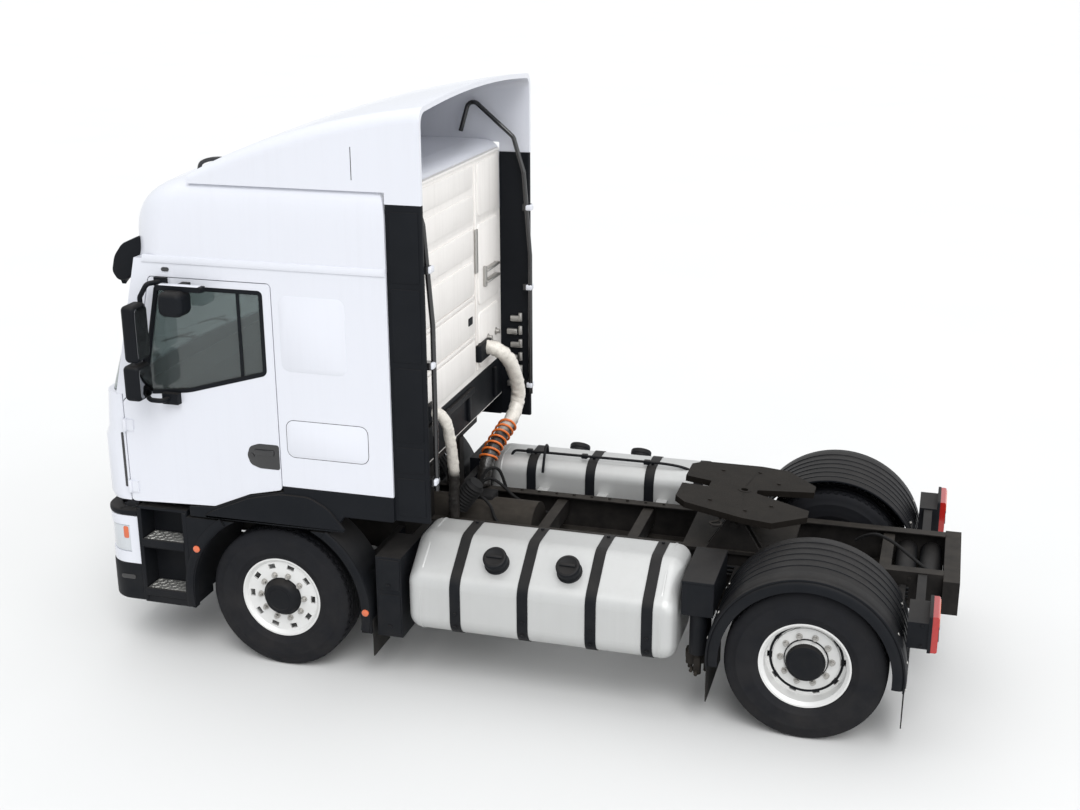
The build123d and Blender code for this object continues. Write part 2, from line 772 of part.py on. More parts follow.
# Cab floor with the two arms that hang on the tilt pin
floor_front = door_front + 5
with BuildPart() as cab_floor:
    with Locations(at((side_rear + skin + floor_front) / 2, 0, floor_bottom_z + floor_thickness / 2)):
        Box(floor_front - side_rear - skin, 2 * (cab_half_width - skin), floor_thickness)
    with Locations(at(floor_front + 60, 0, floor_bottom_z + floor_thickness / 2)):
        Box(130, 2 * (cab_half_width - 260), floor_thickness)
    for left in (1, -1):
        with Locations(at(tilt_ahead, left * tilt_arm_y, (tilt_z + floor_bottom_z - 50) / 2)):
            Box(80, tilt_arm_width, floor_bottom_z - tilt_z + 70)
    with Locations(Location(at(tilt_ahead, 0, tilt_z), (90, 0, 0))):
        Cylinder(tilt_pin_radius + pin_clearance, 900, mode=Mode.SUBTRACT)
keep(cab_floor.part, "cab_floor")

with BuildPart() as tilt_pivot:
    with Locations(Location(at(tilt_ahead, 0, tilt_z), (90, 0, 0))):
        Cylinder(tilt_pin_radius, 2 * (rail_outer_y - 70))
keep(tilt_pivot.part, "tilt_pivot")


def door_outline():
    """The door's edge: sill, arch, rear seam, top and the screen pillar."""
    FilletPolyline(
        (door_front, front_panel_low_z - 3),
        (arch_radius - 215, front_panel_low_z + 25),
        (arch_radius - 495, floor_bottom_z - 85),
        (door_rear, floor_bottom_z - 30),
        (door_rear, door_top_z),
        (door_front - 285, door_top_z),
        (door_front - 100, screen_low_z + 45),
        (door_front, screen_low_z - 55),
        radius=28,
        close=True,
    )


def window_outline():
    """The door's glass: its sill falls towards the front."""
    FilletPolyline(
        (door_rear + 80, door_top_z - 70),
        (door_front - 340, door_top_z - 70),
        (door_front - 190, screen_low_z + 75),
        (door_front - 225, screen_low_z + 40),
        (door_front - 525, screen_low_z + 75),
        (door_rear + 80, screen_low_z + 243),
        radius=30,
        close=True,
    )


# Doors, as thick as the wall, with the window cut through
hinge_y = cab_half_width + 12
hinge_radius = 14
hinge_z = (floor_bottom_z - 120, floor_bottom_z + 340)
with BuildPart() as door:
    with BuildSketch(side_view(cab_half_width)):
        with BuildLine():
            door_outline()
        make_face()
        with BuildLine():
            window_outline()
        make_face(mode=Mode.SUBTRACT)
    extrude(amount=skin)
    for height in hinge_z:
        with Locations(at(door_front, hinge_y, height)):
            Cylinder(hinge_radius, 90)
        with Locations(at(door_front - 35, hinge_y - 8, height)):
            Box(60, 12, 80)
keep(door.part, "door_left")
keep(mirror(door.part, Plane.XZ), "door_right")

glass_thickness = 12
with BuildPart() as door_glass:
    with BuildSketch(side_view(cab_half_width - 12)):
        with BuildLine():
            window_outline()
        make_face()
    extrude(amount=glass_thickness)
keep(door_glass.part, "door_glass_left")
keep(mirror(door_glass.part, Plane.XZ), "door_glass_right")

# Mirrors on the doors, one above the other on a bent arm
mirror_y = cab_half_width + 175
arm_y = cab_half_width + 105
with BuildPart() as mirrors:
    for ahead, low, high, depth in (
        (door_front - 255, door_top_z - 545, door_top_z - 150, 105),
        (door_front - 242, door_top_z - 815, door_top_z - 565, 125),
    ):
        with Locations(at(ahead, mirror_y, (low + high) / 2)):
            Box(depth, 180, high - low)
    fillet(mirrors.edges(), 34)
    with BuildLine() as mirror_arm:
        FilletPolyline(
            at(door_front - 385, cab_half_width + 14, door_top_z - 25),
            at(door_front - 330, arm_y, door_top_z - 25),
            at(door_front - 270, arm_y, door_top_z - 120),
            at(door_front - 265, arm_y, screen_low_z + 12),
            at(door_front - 375, arm_y, screen_low_z + 12),
            at(door_front - 390, cab_half_width + 14, screen_low_z + 12),
            radius=34,
        )
    with BuildSketch(Plane(origin=mirror_arm.line @ 0, z_dir=mirror_arm.line % 0)):
        Circle(17)
    sweep(path=mirror_arm.line)
    with Locations(at(door_front - 400, cab_half_width + 25, screen_low_z + 10)):
        Box(120, 50, 76)
    with Locations(at(door_front - 385, cab_half_width + 15, door_top_z - 25)):
        Box(90, 30, 60)
keep(mirror(mirrors.part, Plane.XZ), "mirrors_right")

with BuildPart() as mirrors_left:
    with Locations(at(door_front - 555, mirror_y - 25, door_top_z - 130)):
        Box(180, 180, 170)
    fillet(mirrors_left.edges(), 48)
    with Locations(at(door_front - 570, cab_half_width + 60, door_top_z - 40)):
        Box(60, 120, 40)
    with Locations(at(door_front - 590, cab_half_width + 120, door_top_z - 34)):
        Box(330, 60, 36)
    add(mirrors.part)
keep(mirrors_left.part, "mirrors_left")

# Cab side walls: rear panel, header and screen pillar around the door
with BuildPart() as side_walls:
    with BuildSketch(side_view(cab_half_width)):
        with BuildLine():
            Polyline(
                (side_rear, floor_bottom_z),
                (side_rear, header_z),
                (door_front - 185, header_z),
                (door_front - 1, screen_low_z),
                (door_front - 1, floor_bottom_z),
                close=True,
            )
        make_face()
        with BuildLine():
            door_outline()
        make_face(mode=Mode.SUBTRACT)
    extrude(amount=skin)
    with BuildSketch(side_view(cab_half_width)):
        with BuildLine():
            Polyline(
                (door_front - 255, header_z),
                (door_front - 185, header_z),
                (door_front + 50, screen_low_z),
                (door_front - 25, screen_low_z),
                (door_front - 235, door_top_z + 20),
                close=True,
            )
        make_face()
    extrude(amount=125)
    with BuildSketch(side_view(cab_half_width)):
        with BuildLine():
            door_outline()
        make_face()
        offset(amount=gap)
    extrude(amount=skin + gap, mode=Mode.SUBTRACT)
    mirror(about=Plane.XZ)
keep(side_walls.part, "side_walls")

# Cab rear wall
with BuildPart() as rear_wall:
    with Locations(at(side_rear + skin / 2, 0, (floor_bottom_z + header_z) / 2)):
        Box(skin, 2 * (cab_half_width - skin), header_z - floor_bottom_z)
keep(rear_wall.part, "rear_wall")

# Cab front: a bowed panel below the windscreen, fuller around its air slots
panel_wall = 60
front_sections = (
    # height above the panel's lower edge, step ahead of the nose
    (0, -18),
    (40, 0),
    (460, 0),
    (520, -26),
    (screen_low_z - front_panel_low_z, -48),
)
with BuildPart() as cab_front:
    for rise, step in front_sections:
        with BuildSketch(plan_view(front_panel_low_z + rise)):
            with BuildLine():
                front_outline(cab_nose + step, cab_nose - 80 + step, door_front + 7, cab_half_width, 170)
            make_face()
    loft(ruled=True)
    with BuildSketch(plan_view(front_panel_low_z)):
        with BuildLine():
            front_outline(
                cab_nose - 48 - panel_wall,
                cab_nose - 126 - panel_wall,
                door_front + 7,
                cab_half_width - panel_wall,
                110,
            )
        make_face()
    extrude(amount=screen_low_z - front_panel_low_z, mode=Mode.SUBTRACT)
    for height in hinge_z:
        with Locations(at(door_front, hinge_y, height)):
            Cylinder(hinge_radius + gap, 102, mode=Mode.SUBTRACT)
    mirror(about=Plane.XZ)
keep(cab_front.part, "cab_front")

# Windscreen: a bowed sheet leaning back, wrapped round to the pillars
screen_thickness = 16
screen_sections = (
    # height, front, corner
    (screen_low_z, cab_nose - 68, 190),
    (header_z - 1, cab_nose - 310, 280),
)
with BuildPart() as windscreen:
    for z, front, corner in screen_sections:
        with BuildSketch(plan_view(z)):
            with BuildLine():
                front_outline(front, front - 80 - (corner - 190) / 2, door_front - 500, cab_half_width - 25, corner)
            make_face()
    loft(ruled=True)
    for z, front, corner in screen_sections:
        back = front - screen_thickness
        with BuildSketch(plan_view(z)):
            with BuildLine():
                front_outline(
                    back,
                    back - 80 - (corner - 190) / 2,
                    door_front - 500,
                    cab_half_width - 25 - screen_thickness,
                    corner - screen_thickness,
                )
            make_face()
    loft(ruled=True, mode=Mode.SUBTRACT)
    with BuildSketch(side_view(0)):
        with BuildLine():
            Polyline(
                (door_front - 600, header_z + 20),
                (door_front - 185, header_z + 20),
                (door_front - 180, header_z),
                (door_front + 56, screen_low_z),
                (door_front + 56, screen_low_z - 20),
                (door_front - 600, screen_low_z - 20),
                close=True,
            )
        make_face()
    extrude(amount=cab_half_width, both=True, mode=Mode.SUBTRACT)
    mirror(about=Plane.XZ)
keep(windscreen.part, "windscreen")

# Roof: a high shell with a bowed front and round shoulders, open below
roof_sections = (
    # height over the header, front, corner_front, half_width, corner, rear
    (0, cab_nose - 290, cab_nose - 410, cab_half_width, 300, side_rear),
    (240, cab_nose - 318, cab_nose - 438, cab_half_width, 300, side_rear),
    (400, cab_nose - 415, cab_nose - 530, cab_half_width - 6, 290, side_rear + 4),
    (490, cab_nose - 570, cab_nose - 670, cab_half_width - 32, 280, side_rear + 30),
    (535, cab_nose - 740, cab_nose - 830, cab_half_width - 85, 260, side_rear + 90),
    (552, cab_nose - 930, cab_nose - 1000, cab_half_width - 160, 240, side_rear + 190),
)
roof_wall = 50
with BuildPart() as roof_core:
    for rise, front, corner_front, half_width, corner, rear in roof_sections:
        with BuildSketch(plan_view(header_z + rise)):
            with BuildLine():
                front_outline(front, corner_front, rear, half_width, corner)
            make_face()
            mirror(about=Plane.XZ)
    loft()

with BuildPart() as roof:
    add(roof_core.part)
    for rise, front, corner_front, half_width, corner, rear in roof_sections:
        with BuildSketch(plan_view(header_z + rise - roof_wall)):
            with BuildLine():
                front_outline(
                    front - roof_wall,
                    corner_front - roof_wall,
                    rear + roof_wall,
                    half_width - roof_wall,
                    corner,
                )
            make_face()
            mirror(about=Plane.XZ)
    loft(mode=Mode.SUBTRACT)
keep(roof.part, "cab_roof")


# Sun visor ahead of the windscreen's upper edge
visor_half = cab_half_width - 120
with BuildPart() as sun_visor:
    for rise, edge, bow, deep in (
        (-220, cab_nose - 320, 240, 30),
        (-95, cab_nose - 270, 250, 60),
        (75, cab_nose - 428, 180, 30),
    ):
        with BuildSketch(plan_view(header_z + rise)):
            with BuildLine():
                outer = ThreePointArc((edge, -visor_half), (edge + bow, 0), (edge, visor_half))
                inner = ThreePointArc(
                    (edge - deep, visor_half),
                    (edge + bow - deep, 0),
                    (edge - deep, -visor_half),
                )
                Line(outer @ 1, inner @ 0)
                Line(inner @ 1, outer @ 0)
            make_face()
    loft(ruled=True)
    for left in (1, -1):
        with Locations(at(cab_nose - 315, left * 500, header_z + 40)):
            Box(70, 40, 30)
    add(roof_core.part, mode=Mode.SUBTRACT)
keep(sun_visor.part, "sun_visor")

# Roof deflector: a crowned hood, open behind and below, let down onto the roof
deflector_low = 515
deflector_sections = (
    # ahead of the nose's place, crease over the header, crown, corner
    (cab_nose - 930, 572, 12, 40),
    (cab_nose - 1280, 735, 26, 80),
    (cab_nose - 1950, 945, 40, 90),
    (deflector_rear, 1050, 48, 90),
)


def hood_outline(crease, crown, corner, inset):
    """The hood seen from the end, from one foot over the top to the other."""
    half = deflector_half_width - inset
    low = header_z + deflector_low - 2 * inset
    top = header_z + crease - inset
    turn = 0.29 * corner
    right = Line((-half, low), (-half, top - corner))
    right_turn = ThreePointArc(right @ 1, (-half + turn, top - turn), (-half + corner, top))
    over = ThreePointArc(right_turn @ 1, (0, top + crown), (half - corner, top))
    left_turn = ThreePointArc(over @ 1, (half - turn, top - turn), (half, top - corner))
    left = Line(left_turn @ 1, (half, low))
    Line(left @ 1, right @ 0)


with BuildPart() as roof_deflector:
    for ahead, crease, crown, corner in deflector_sections:
        with BuildSketch(end_view(ahead)):
            with BuildLine():
                hood_outline(crease, crown, corner, 0)
            make_face()
    loft()
    for ahead, crease, crown, corner in deflector_sections:
        with BuildSketch(end_view(ahead - deflector_wall)):
            with BuildLine():
                hood_outline(crease, crown, corner - 8, deflector_wall)
            make_face()
    loft(mode=Mode.SUBTRACT)
    for left in (1, -1):
        foot_y = left * (deflector_half_width - deflector_wall / 2)
        with Locations(at((deflector_rear + side_rear) / 2, foot_y, header_z + 490)):
            Box(deflector_overhang, deflector_wall, 98)
    add(roof_core.part, mode=Mode.SUBTRACT)
keep(roof_deflector.part, "roof_deflector")

# Side deflectors behind the cab's rear corners
side_panel = 40
side_panel_low_z = floor_bottom_z - 170
side_panel_high_z = header_z + 441
with BuildPart() as side_deflectors:
    for left in (1, -1):
        panel_place = at(
            (deflector_rear + side_rear) / 2,
            left * (deflector_half_width - side_panel / 2),
            (side_panel_low_z + side_panel_high_z) / 2,
        )
        with Locations(panel_place):
            Box(deflector_overhang, side_panel, side_panel_high_z - side_panel_low_z)
        with Locations(at(side_rear, left * deflector_half_width, header_z + 250)):
            Box(gap, 3 * side_panel, 500, mode=Mode.SUBTRACT)
    rear_edges = side_deflectors.edges().filter_by(Axis.Z)
    fillet(rear_edges.filter_by(lambda e: e.center().X < front_axle_x + deflector_rear + 1), 12)
keep(side_deflectors.part, "side_deflectors")

# Stays of the deflectors: a bent tube on each side
stay_y = deflector_half_width - 100
stay_behind = deflector_rear - 20
with BuildPart() as deflector_stays:
    with BuildLine() as stay_path:
        FilletPolyline(
            at(deflector_rear + 540, stay_y, header_z + 600),
            at(deflector_rear + 460, stay_y, header_z + 865),
            at(deflector_rear + 110, stay_y, header_z + 565),
            at(deflector_rear + 30, stay_y, header_z + 300),
            at(stay_behind, stay_y, header_z - 360),
            at(stay_behind, stay_y, floor_bottom_z + 40),
            radius=55,
        )
    with BuildSketch(Plane(origin=stay_path.line @ 0, z_dir=stay_path.line % 0)):
        Circle(18)
    sweep(path=stay_path.line)
    clamp_reach = deflector_half_width - side_panel - stay_y
    for z in (floor_bottom_z + 110, header_z - 620, header_z + 20):
        with Locations(at(deflector_rear + 10, stay_y + clamp_reach / 2, z)):
            Box(60, clamp_reach, 50)
    mirror(about=Plane.XZ)
keep(deflector_stays.part, "deflector_stays")

# Black arches below the side panels, on the cab
arch_low_z = arch_flat_z + 10
trim_low_z = floor_bottom_z - 180
with BuildPart() as cab_arches:
    with BuildSketch(side_view(cab_half_width + 5)):
        with BuildLine():
            Polyline(
                (arch_radius - 9, arch_low_z),
                (arch_radius - 9, front_panel_low_z + 5),
                (arch_radius - 215, front_panel_low_z + 18),
                (arch_radius - 495, floor_bottom_z - 92),
                (door_rear - 8, floor_bottom_z - 45),
                (door_rear - 8, floor_bottom_z),
                (side_rear, floor_bottom_z),
                (side_rear, trim_low_z),
                (-arch_radius + 95, trim_low_z),
                (-arch_radius + 180, arch_low_z),
                close=True,
            )
        make_face()
    extrude(amount=60)
    mirror(about=Plane.XZ)
keep(cab_arches.part, "cab_arches")

# Seats and bunk
seat_y = cab_half_width - 600
with BuildPart() as cab_furniture:
    for left in (1, -1):
        with Locations(at(190, left * seat_y, floor_top_z + 180)):
            Box(400, 420, 360)
        with Locations(at(190, left * seat_y, floor_top_z + 410)):
            Box(480, 520, 120)
        with Locations(Location(at(-20, left * seat_y, floor_top_z + 790), (0, -10, 0))):
            Box(120, 500, 720)
    with Locations(at(side_rear + 398, 0, floor_top_z + 230)):
        Box(600, 2 * (cab_half_width - skin) - 20, 460)
keep(cab_furniture.part, "cab_furniture")

# Dashboard with the steering wheel on the right
wheel_tilt = 35
with BuildPart() as dashboard:
    with Locations(at(door_front - 85, 0, floor_top_z + 230)):
        Box(300, 2 * (cab_half_width - 165), 460)
    with Locations(Location(at(door_front - 265, -seat_y, floor_top_z + 470), (0, -wheel_tilt - 10, 0))):
        Cylinder(35, 420)
    with Locations(Location(at(door_front - 420, -seat_y, floor_top_z + 615), (0, -wheel_tilt, 0))):
        Torus(215, 17)
        Box(430, 50, 16)
        Box(50, 430, 16)
        Cylinder(60, 60)
keep(dashboard.part, "dashboard")

# Air lines from the cab's back wall to the frame behind it
line_radius = 30
rail_line_y = rail_outer_y - 40
with BuildPart() as air_lines:
    for side, wall_y, wall_z, belly_y, belly_z, behind in (
        (-1, 700, 530, 905, 50, 205),
        (-1, 610, 500, 800, 110, 275),
        (1, 560, 400, 520, -60, 150),
    ):
        with BuildLine() as line_path:
            FilletPolyline(
                at(side_rear, side * wall_y, floor_bottom_z + wall_z),
                at(side_rear - 0.5 * behind, side * wall_y, floor_bottom_z + wall_z),
                at(side_rear - behind, side * belly_y, floor_bottom_z + belly_z),
                at(side_rear - behind, side * rail_line_y, floor_bottom_z - 200),
                at(side_rear - behind, side * rail_line_y, rail_top_z),
                radius=60,
            )
        with BuildSketch(Plane(origin=line_path.line @ 0, z_dir=line_path.line % 0)):
            Circle(line_radius)
        sweep(path=line_path.line)
keep(air_lines.part, "air_lines")
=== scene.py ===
import math

import bmesh
import bpy
from mathutils import Matrix, Vector, noise


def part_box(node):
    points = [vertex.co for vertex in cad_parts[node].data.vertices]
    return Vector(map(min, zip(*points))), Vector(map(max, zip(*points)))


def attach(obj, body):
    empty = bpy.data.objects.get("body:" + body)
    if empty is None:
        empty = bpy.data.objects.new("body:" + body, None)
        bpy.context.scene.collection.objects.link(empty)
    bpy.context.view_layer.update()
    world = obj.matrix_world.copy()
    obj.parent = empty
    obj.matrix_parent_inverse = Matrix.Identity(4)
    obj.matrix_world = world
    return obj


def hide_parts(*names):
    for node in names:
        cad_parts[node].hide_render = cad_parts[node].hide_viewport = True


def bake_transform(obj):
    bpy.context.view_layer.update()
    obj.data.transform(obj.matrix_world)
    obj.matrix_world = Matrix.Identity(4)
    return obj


bl_info = {
    "name": "Tractor unit dressing",
    "version": (1, 0, 0),
    "blender": (4, 5, 0),
    "location": "View3D > Sidebar > Tractor",
    "description": "Dresses a two-axle road tractor with its tread, fittings, finishes and studio",
    "category": "Object",
}

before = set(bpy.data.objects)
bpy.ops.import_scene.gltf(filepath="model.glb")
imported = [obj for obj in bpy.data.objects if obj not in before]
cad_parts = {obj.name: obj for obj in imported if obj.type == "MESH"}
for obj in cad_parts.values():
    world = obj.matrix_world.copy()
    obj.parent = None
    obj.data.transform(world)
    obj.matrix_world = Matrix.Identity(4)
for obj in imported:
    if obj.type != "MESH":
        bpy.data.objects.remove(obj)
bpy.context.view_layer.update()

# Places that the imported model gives, in metres
FRONT_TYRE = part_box("front_tyre_left")
REAR_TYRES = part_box("rear_tyres_left")
FRONT_X = sum(corner.x for corner in FRONT_TYRE) / 2
REAR_X = sum(corner.x for corner in REAR_TYRES) / 2
WHEEL_Z = sum(corner.z for corner in FRONT_TYRE) / 2
TYRE_RADIUS = WHEEL_Z
FRONT_WHEEL_Y = sum(corner.y for corner in FRONT_TYRE) / 2
FRONT_TYRE_HALF = (FRONT_TYRE[1].y - FRONT_TYRE[0].y) / 2
REAR_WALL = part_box("rear_wall")[0].x - FRONT_X
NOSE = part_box("cab_front")[1].x - FRONT_X
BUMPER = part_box("bumper")[1].x - FRONT_X
ARCH_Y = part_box("cab_arches")[1].y
WHEELBASE = FRONT_X - REAR_X

# Sizes and places that the boxes of the nodes don't give
REAR_TYRE_HALF = 0.15
REAR_OUTER_Y = REAR_TYRES[1].y - REAR_TYRE_HALF
REAR_INNER_Y = REAR_TYRES[0].y + REAR_TYRE_HALF
DOOR_Y = 1.24
BEAD_RADIUS = 0.2865
BOLT_CIRCLE = 0.1675
RAIL_Y = 0.385
STEP_HEIGHTS = (0.890, 0.505)
FOG_LAMPS_Y = (-0.66, 0.66)
SEAT_Y = 0.64
GUARD_RADIUS = 0.639
GUARD_START = math.radians(-95)
GUARD_SWEEP = math.radians(190)

SIDES = (("left", 1), ("right", -1))
SHARP_ANGLE = 35.0
TYRE_SHARP_ANGLE = 40.0
ROUNDED_FROM = math.radians(40)
WELD = 0.00005
MERGE = 0.00002


class TractorPaint(bpy.types.PropertyGroup):
    """Colours of the tractor's main finishes."""

    cab: bpy.props.FloatVectorProperty(
        name="Cab paint", description="White of the cab", subtype="COLOR", default=(0.65, 0.663, 0.715)
    )
    plastic: bpy.props.FloatVectorProperty(
        name="Black plastic", description="Arches, steps and deflectors", subtype="COLOR", default=(0.006, 0.007, 0.009)
    )
    chassis: bpy.props.FloatVectorProperty(
        name="Chassis paint", description="Frame and brackets", subtype="COLOR", default=(0.0085, 0.008, 0.008)
    )
    alloy: bpy.props.FloatVectorProperty(
        name="Tank alloy", description="Fuel tanks", subtype="COLOR", default=(0.5, 0.505, 0.5)
    )
    rim: bpy.props.FloatVectorProperty(
        name="Rim paint", description="Silver of the rims", subtype="COLOR", default=(0.68, 0.68, 0.67)
    )
    dust: bpy.props.FloatVectorProperty(
        name="Road dust", description="Dust that lies on low parts", subtype="COLOR", default=(0.2, 0.172, 0.14)
    )


class TractorTyre(bpy.types.PropertyGroup):
    """Sizes of the tread."""

    groove_depth: bpy.props.FloatProperty(
        name="Groove depth", description="Depth of the tread grooves", unit="LENGTH", default=0.014
    )
    pitches: bpy.props.IntProperty(
        name="Pitches", description="Repeats of the tread round the tyre", default=56
    )


class TractorStage(bpy.types.PropertyGroup):
    """Camera settings."""

    lens: bpy.props.FloatProperty(name="Lens", description="Focal length in mm", default=48.21)
    yaw: bpy.props.FloatProperty(
        name="Yaw", description="Turn of the view from straight across", subtype="ANGLE", default=math.radians(16.08)
    )
    pitch: bpy.props.FloatProperty(
        name="Pitch", description="Downward tilt of the view", subtype="ANGLE", default=math.radians(18.13)
    )
    roll: bpy.props.FloatProperty(
        name="Roll", description="Roll of the camera", subtype="ANGLE", default=math.radians(-0.15)
    )
    offset: bpy.props.FloatVectorProperty(
        name="Camera place", description="From the ground under the front axle", subtype="TRANSLATION",
        default=(-4.376, 9.672, 5.043),
    )


def paint_settings():
    return bpy.context.scene.tractor_paint


# Shader groups and materials


def group_with(name, inputs, outputs):
    """A new shader node group with float sockets; each input has its default."""
    group = bpy.data.node_groups.new(name, "ShaderNodeTree")
    for socket, default in inputs:
        made = group.interface.new_socket(socket, in_out="INPUT", socket_type="NodeSocketFloat")
        made.default_value = default
    for socket in outputs:
        group.interface.new_socket(socket, in_out="OUTPUT", socket_type="NodeSocketFloat")
    return group, group.nodes.new("NodeGroupInput"), group.nodes.new("NodeGroupOutput")


def feed(tree, socket, value):
    """Give an input its value: a plain number or another node's output."""
    if isinstance(value, (int, float)):
        socket.default_value = value
    else:
        tree.links.new(value, socket)


def math_node(tree, operation, first, second, clamp=False):
    """A math node; returns its output."""
    node = tree.nodes.new("ShaderNodeMath")
    node.operation = operation
    node.use_clamp = clamp
    feed(tree, node.inputs[0], first)
    feed(tree, node.inputs[1], second)
    return node.outputs[0]


def scaled(tree, value, gain, shift, clamp=False):
    """A value times a gain plus a shift."""
    output = math_node(tree, "MULTIPLY_ADD", value, gain, clamp)
    output.node.inputs[2].default_value = shift
    return output


def noise_node(tree, vector, scale, detail, rough):
    """A noise texture; returns its value."""
    node = tree.nodes.new("ShaderNodeTexNoise")
    tree.links.new(vector, node.inputs["Vector"])
    feed(tree, node.inputs["Scale"], scale)
    node.inputs["Detail"].default_value = detail
    node.inputs["Roughness"].default_value = rough
    return node.outputs["Fac"]


def coordinates(tree, kind="Object"):
    return tree.nodes.new("ShaderNodeTexCoord").outputs[kind]


def upward_part(tree, vector):
    """The z of a vector."""
    split = tree.nodes.new("ShaderNodeSeparateXYZ")
    tree.links.new(vector, split.inputs[0])
    return split.outputs["Z"]


def road_dust_group():
    """Mask of dust that thickens towards the road, gathers in blotches and settles on upward faces."""
    group, start, end = group_with(
        "road_dust", (("Amount", 0.5), ("Reach", 1.2), ("Blotch", 6.0), ("Settled", 0.0)), ("Mask",)
    )
    place = coordinates(group)
    height = math_node(group, "DIVIDE", upward_part(group, place), start.outputs["Reach"])
    low = math_node(group, "SUBTRACT", 1.0, height, clamp=True)
    blotch = noise_node(group, place, start.outputs["Blotch"], 6.0, 0.62)
    mask = math_node(group, "MULTIPLY", math_node(group, "ADD", low, 0.12), scaled(group, blotch, 1.5, -0.4))
    mask = math_node(group, "MULTIPLY", mask, start.outputs["Amount"], clamp=True)
    upward = scaled(group, upward_part(group, coordinates(group, "Normal")), 1.6, -0.5, clamp=True)
    spread = math_node(group, "MULTIPLY", math_node(group, "ADD", blotch, 0.5), start.outputs["Settled"])
    mask = math_node(group, "ADD", mask, math_node(group, "MULTIPLY", upward, spread), clamp=True)
    group.links.new(mask, end.inputs["Mask"])
    return group


def surface_group():
    """Slow waviness and fine grain, as a height for a bump."""
    group, start, end = group_with(
        "surface_grain", (("Wave size", 1.5), ("Grain size", 400.0), ("Grain share", 0.2)), ("Height", "Shade")
    )
    place = coordinates(group)
    wave = noise_node(group, place, start.outputs["Wave size"], 2.0, 0.5)
    grain = noise_node(group, place, start.outputs["Grain size"], 2.0, 0.6)
    part = math_node(group, "MULTIPLY", grain, start.outputs["Grain share"])
    group.links.new(math_node(group, "ADD", wave, part), end.inputs["Height"])
    group.links.new(grain, end.inputs["Shade"])
    return group


def streak_group():
    """Thin vertical rain streaks."""
    group, start, end = group_with("rain_streaks", (("Amount", 0.3),), ("Mask",))
    mapping = group.nodes.new("ShaderNodeMapping")
    mapping.inputs["Scale"].default_value = (14.0, 14.0, 0.5)
    group.links.new(coordinates(group), mapping.inputs["Vector"])
    streak = noise_node(group, mapping.outputs[0], 1.6, 5.0, 0.6)
    sharp = scaled(group, streak, 3.2, -1.55, clamp=True)
    group.links.new(math_node(group, "MULTIPLY", sharp, start.outputs["Amount"]), end.inputs["Mask"])
    return group


def place_group(tree, name, maker, **values):
    """A shared group, made at its first use, placed in a material with its own values."""
    node = tree.nodes.new("ShaderNodeGroup")
    node.node_tree = bpy.data.node_groups.get(name) or maker()
    for socket, value in values.items():
        node.inputs[socket.replace("_", " ")].default_value = value
    return node


def mix_colour(tree, share, first, second):
    """A colour mix; each colour is a tuple or a socket. Returns the output."""
    node = tree.nodes.new("ShaderNodeMix")
    node.data_type = "RGBA"
    tree.links.new(share, node.inputs["Factor"])
    for socket, value in ((node.inputs[6], first), (node.inputs[7], second)):
        if isinstance(value, tuple):
            socket.default_value = (*value, 1.0)
        else:
            tree.links.new(value, socket)
    return node.outputs[2]


def ramp(tree, value, low, high):
    """Map a 0 to 1 value to the range low to high."""
    node = tree.nodes.new("ShaderNodeMapRange")
    tree.links.new(value, node.inputs["Value"])
    node.inputs["To Min"].default_value = low
    node.inputs["To Max"].default_value = high
    return node.outputs[0]


COAT_ROUGHNESS = 0.08
DUST_ROUGHNESS = 0.35


def finish(
    name, colour, rough=(0.4, 0.6), metallic=0.0, dust=0.3, dust_reach=1.2, blotch=6.0, settled=0.0, streaks=0.0,
    wave=1.5, grain=400.0, grain_share=0.2, bump=0.05, bump_distance=0.002, coat=0.0, vary=0.12, gloss=0.5, extra=None,
):
    """A procedural finish: base colour, grain, dust and streaks on one shader."""
    material = bpy.data.materials.new(name)
    material.use_nodes = True
    tree = material.node_tree
    shader = tree.nodes["Principled BSDF"]
    shader.inputs["Metallic"].default_value = metallic
    shader.inputs["Specular IOR Level"].default_value = gloss
    shader.inputs["Coat Weight"].default_value = coat
    shader.inputs["Coat Roughness"].default_value = COAT_ROUGHNESS
    surface = place_group(
        tree, "surface_grain", surface_group, Wave_size=wave, Grain_size=grain, Grain_share=grain_share
    )
    dusty = place_group(
        tree, "road_dust", road_dust_group, Amount=dust, Reach=dust_reach, Blotch=blotch, Settled=settled
    ).outputs["Mask"]
    dust_colour = tuple(paint_settings().dust)
    darker = tuple(channel * (1.0 - vary) for channel in colour)
    lighter = tuple(min(1.0, channel * (1.0 + vary)) for channel in colour)
    base = mix_colour(tree, surface.outputs["Height"], darker, lighter)
    if extra:
        base = extra(tree, base)
    if streaks:
        streak_node = place_group(tree, "rain_streaks", streak_group, Amount=streaks)
        base = mix_colour(tree, streak_node.outputs["Mask"], base, dust_colour)
    tree.links.new(mix_colour(tree, dusty, base, dust_colour), shader.inputs["Base Color"])
    polish = ramp(tree, surface.outputs["Shade"], *rough)
    dulled = math_node(tree, "ADD", polish, math_node(tree, "MULTIPLY", dusty, DUST_ROUGHNESS), clamp=True)
    tree.links.new(dulled, shader.inputs["Roughness"])
    bump_node = tree.nodes.new("ShaderNodeBump")
    bump_node.inputs["Strength"].default_value = bump
    bump_node.inputs["Distance"].default_value = bump_distance
    tree.links.new(surface.outputs["Height"], bump_node.inputs["Height"])
    tree.links.new(bump_node.outputs[0], shader.inputs["Normal"])
    return material


def glass_finish(name, tint):
    """Tinted glass with a film of dust."""
    material = finish(name, tint, rough=(0.02, 0.05), dust=0.25, dust_reach=3.4, blotch=3.0, bump=0.01, vary=0.05)
    shader = material.node_tree.nodes["Principled BSDF"]
    shader.inputs["Transmission Weight"].default_value = 0.9
    shader.inputs["IOR"].default_value = 1.5
    return material


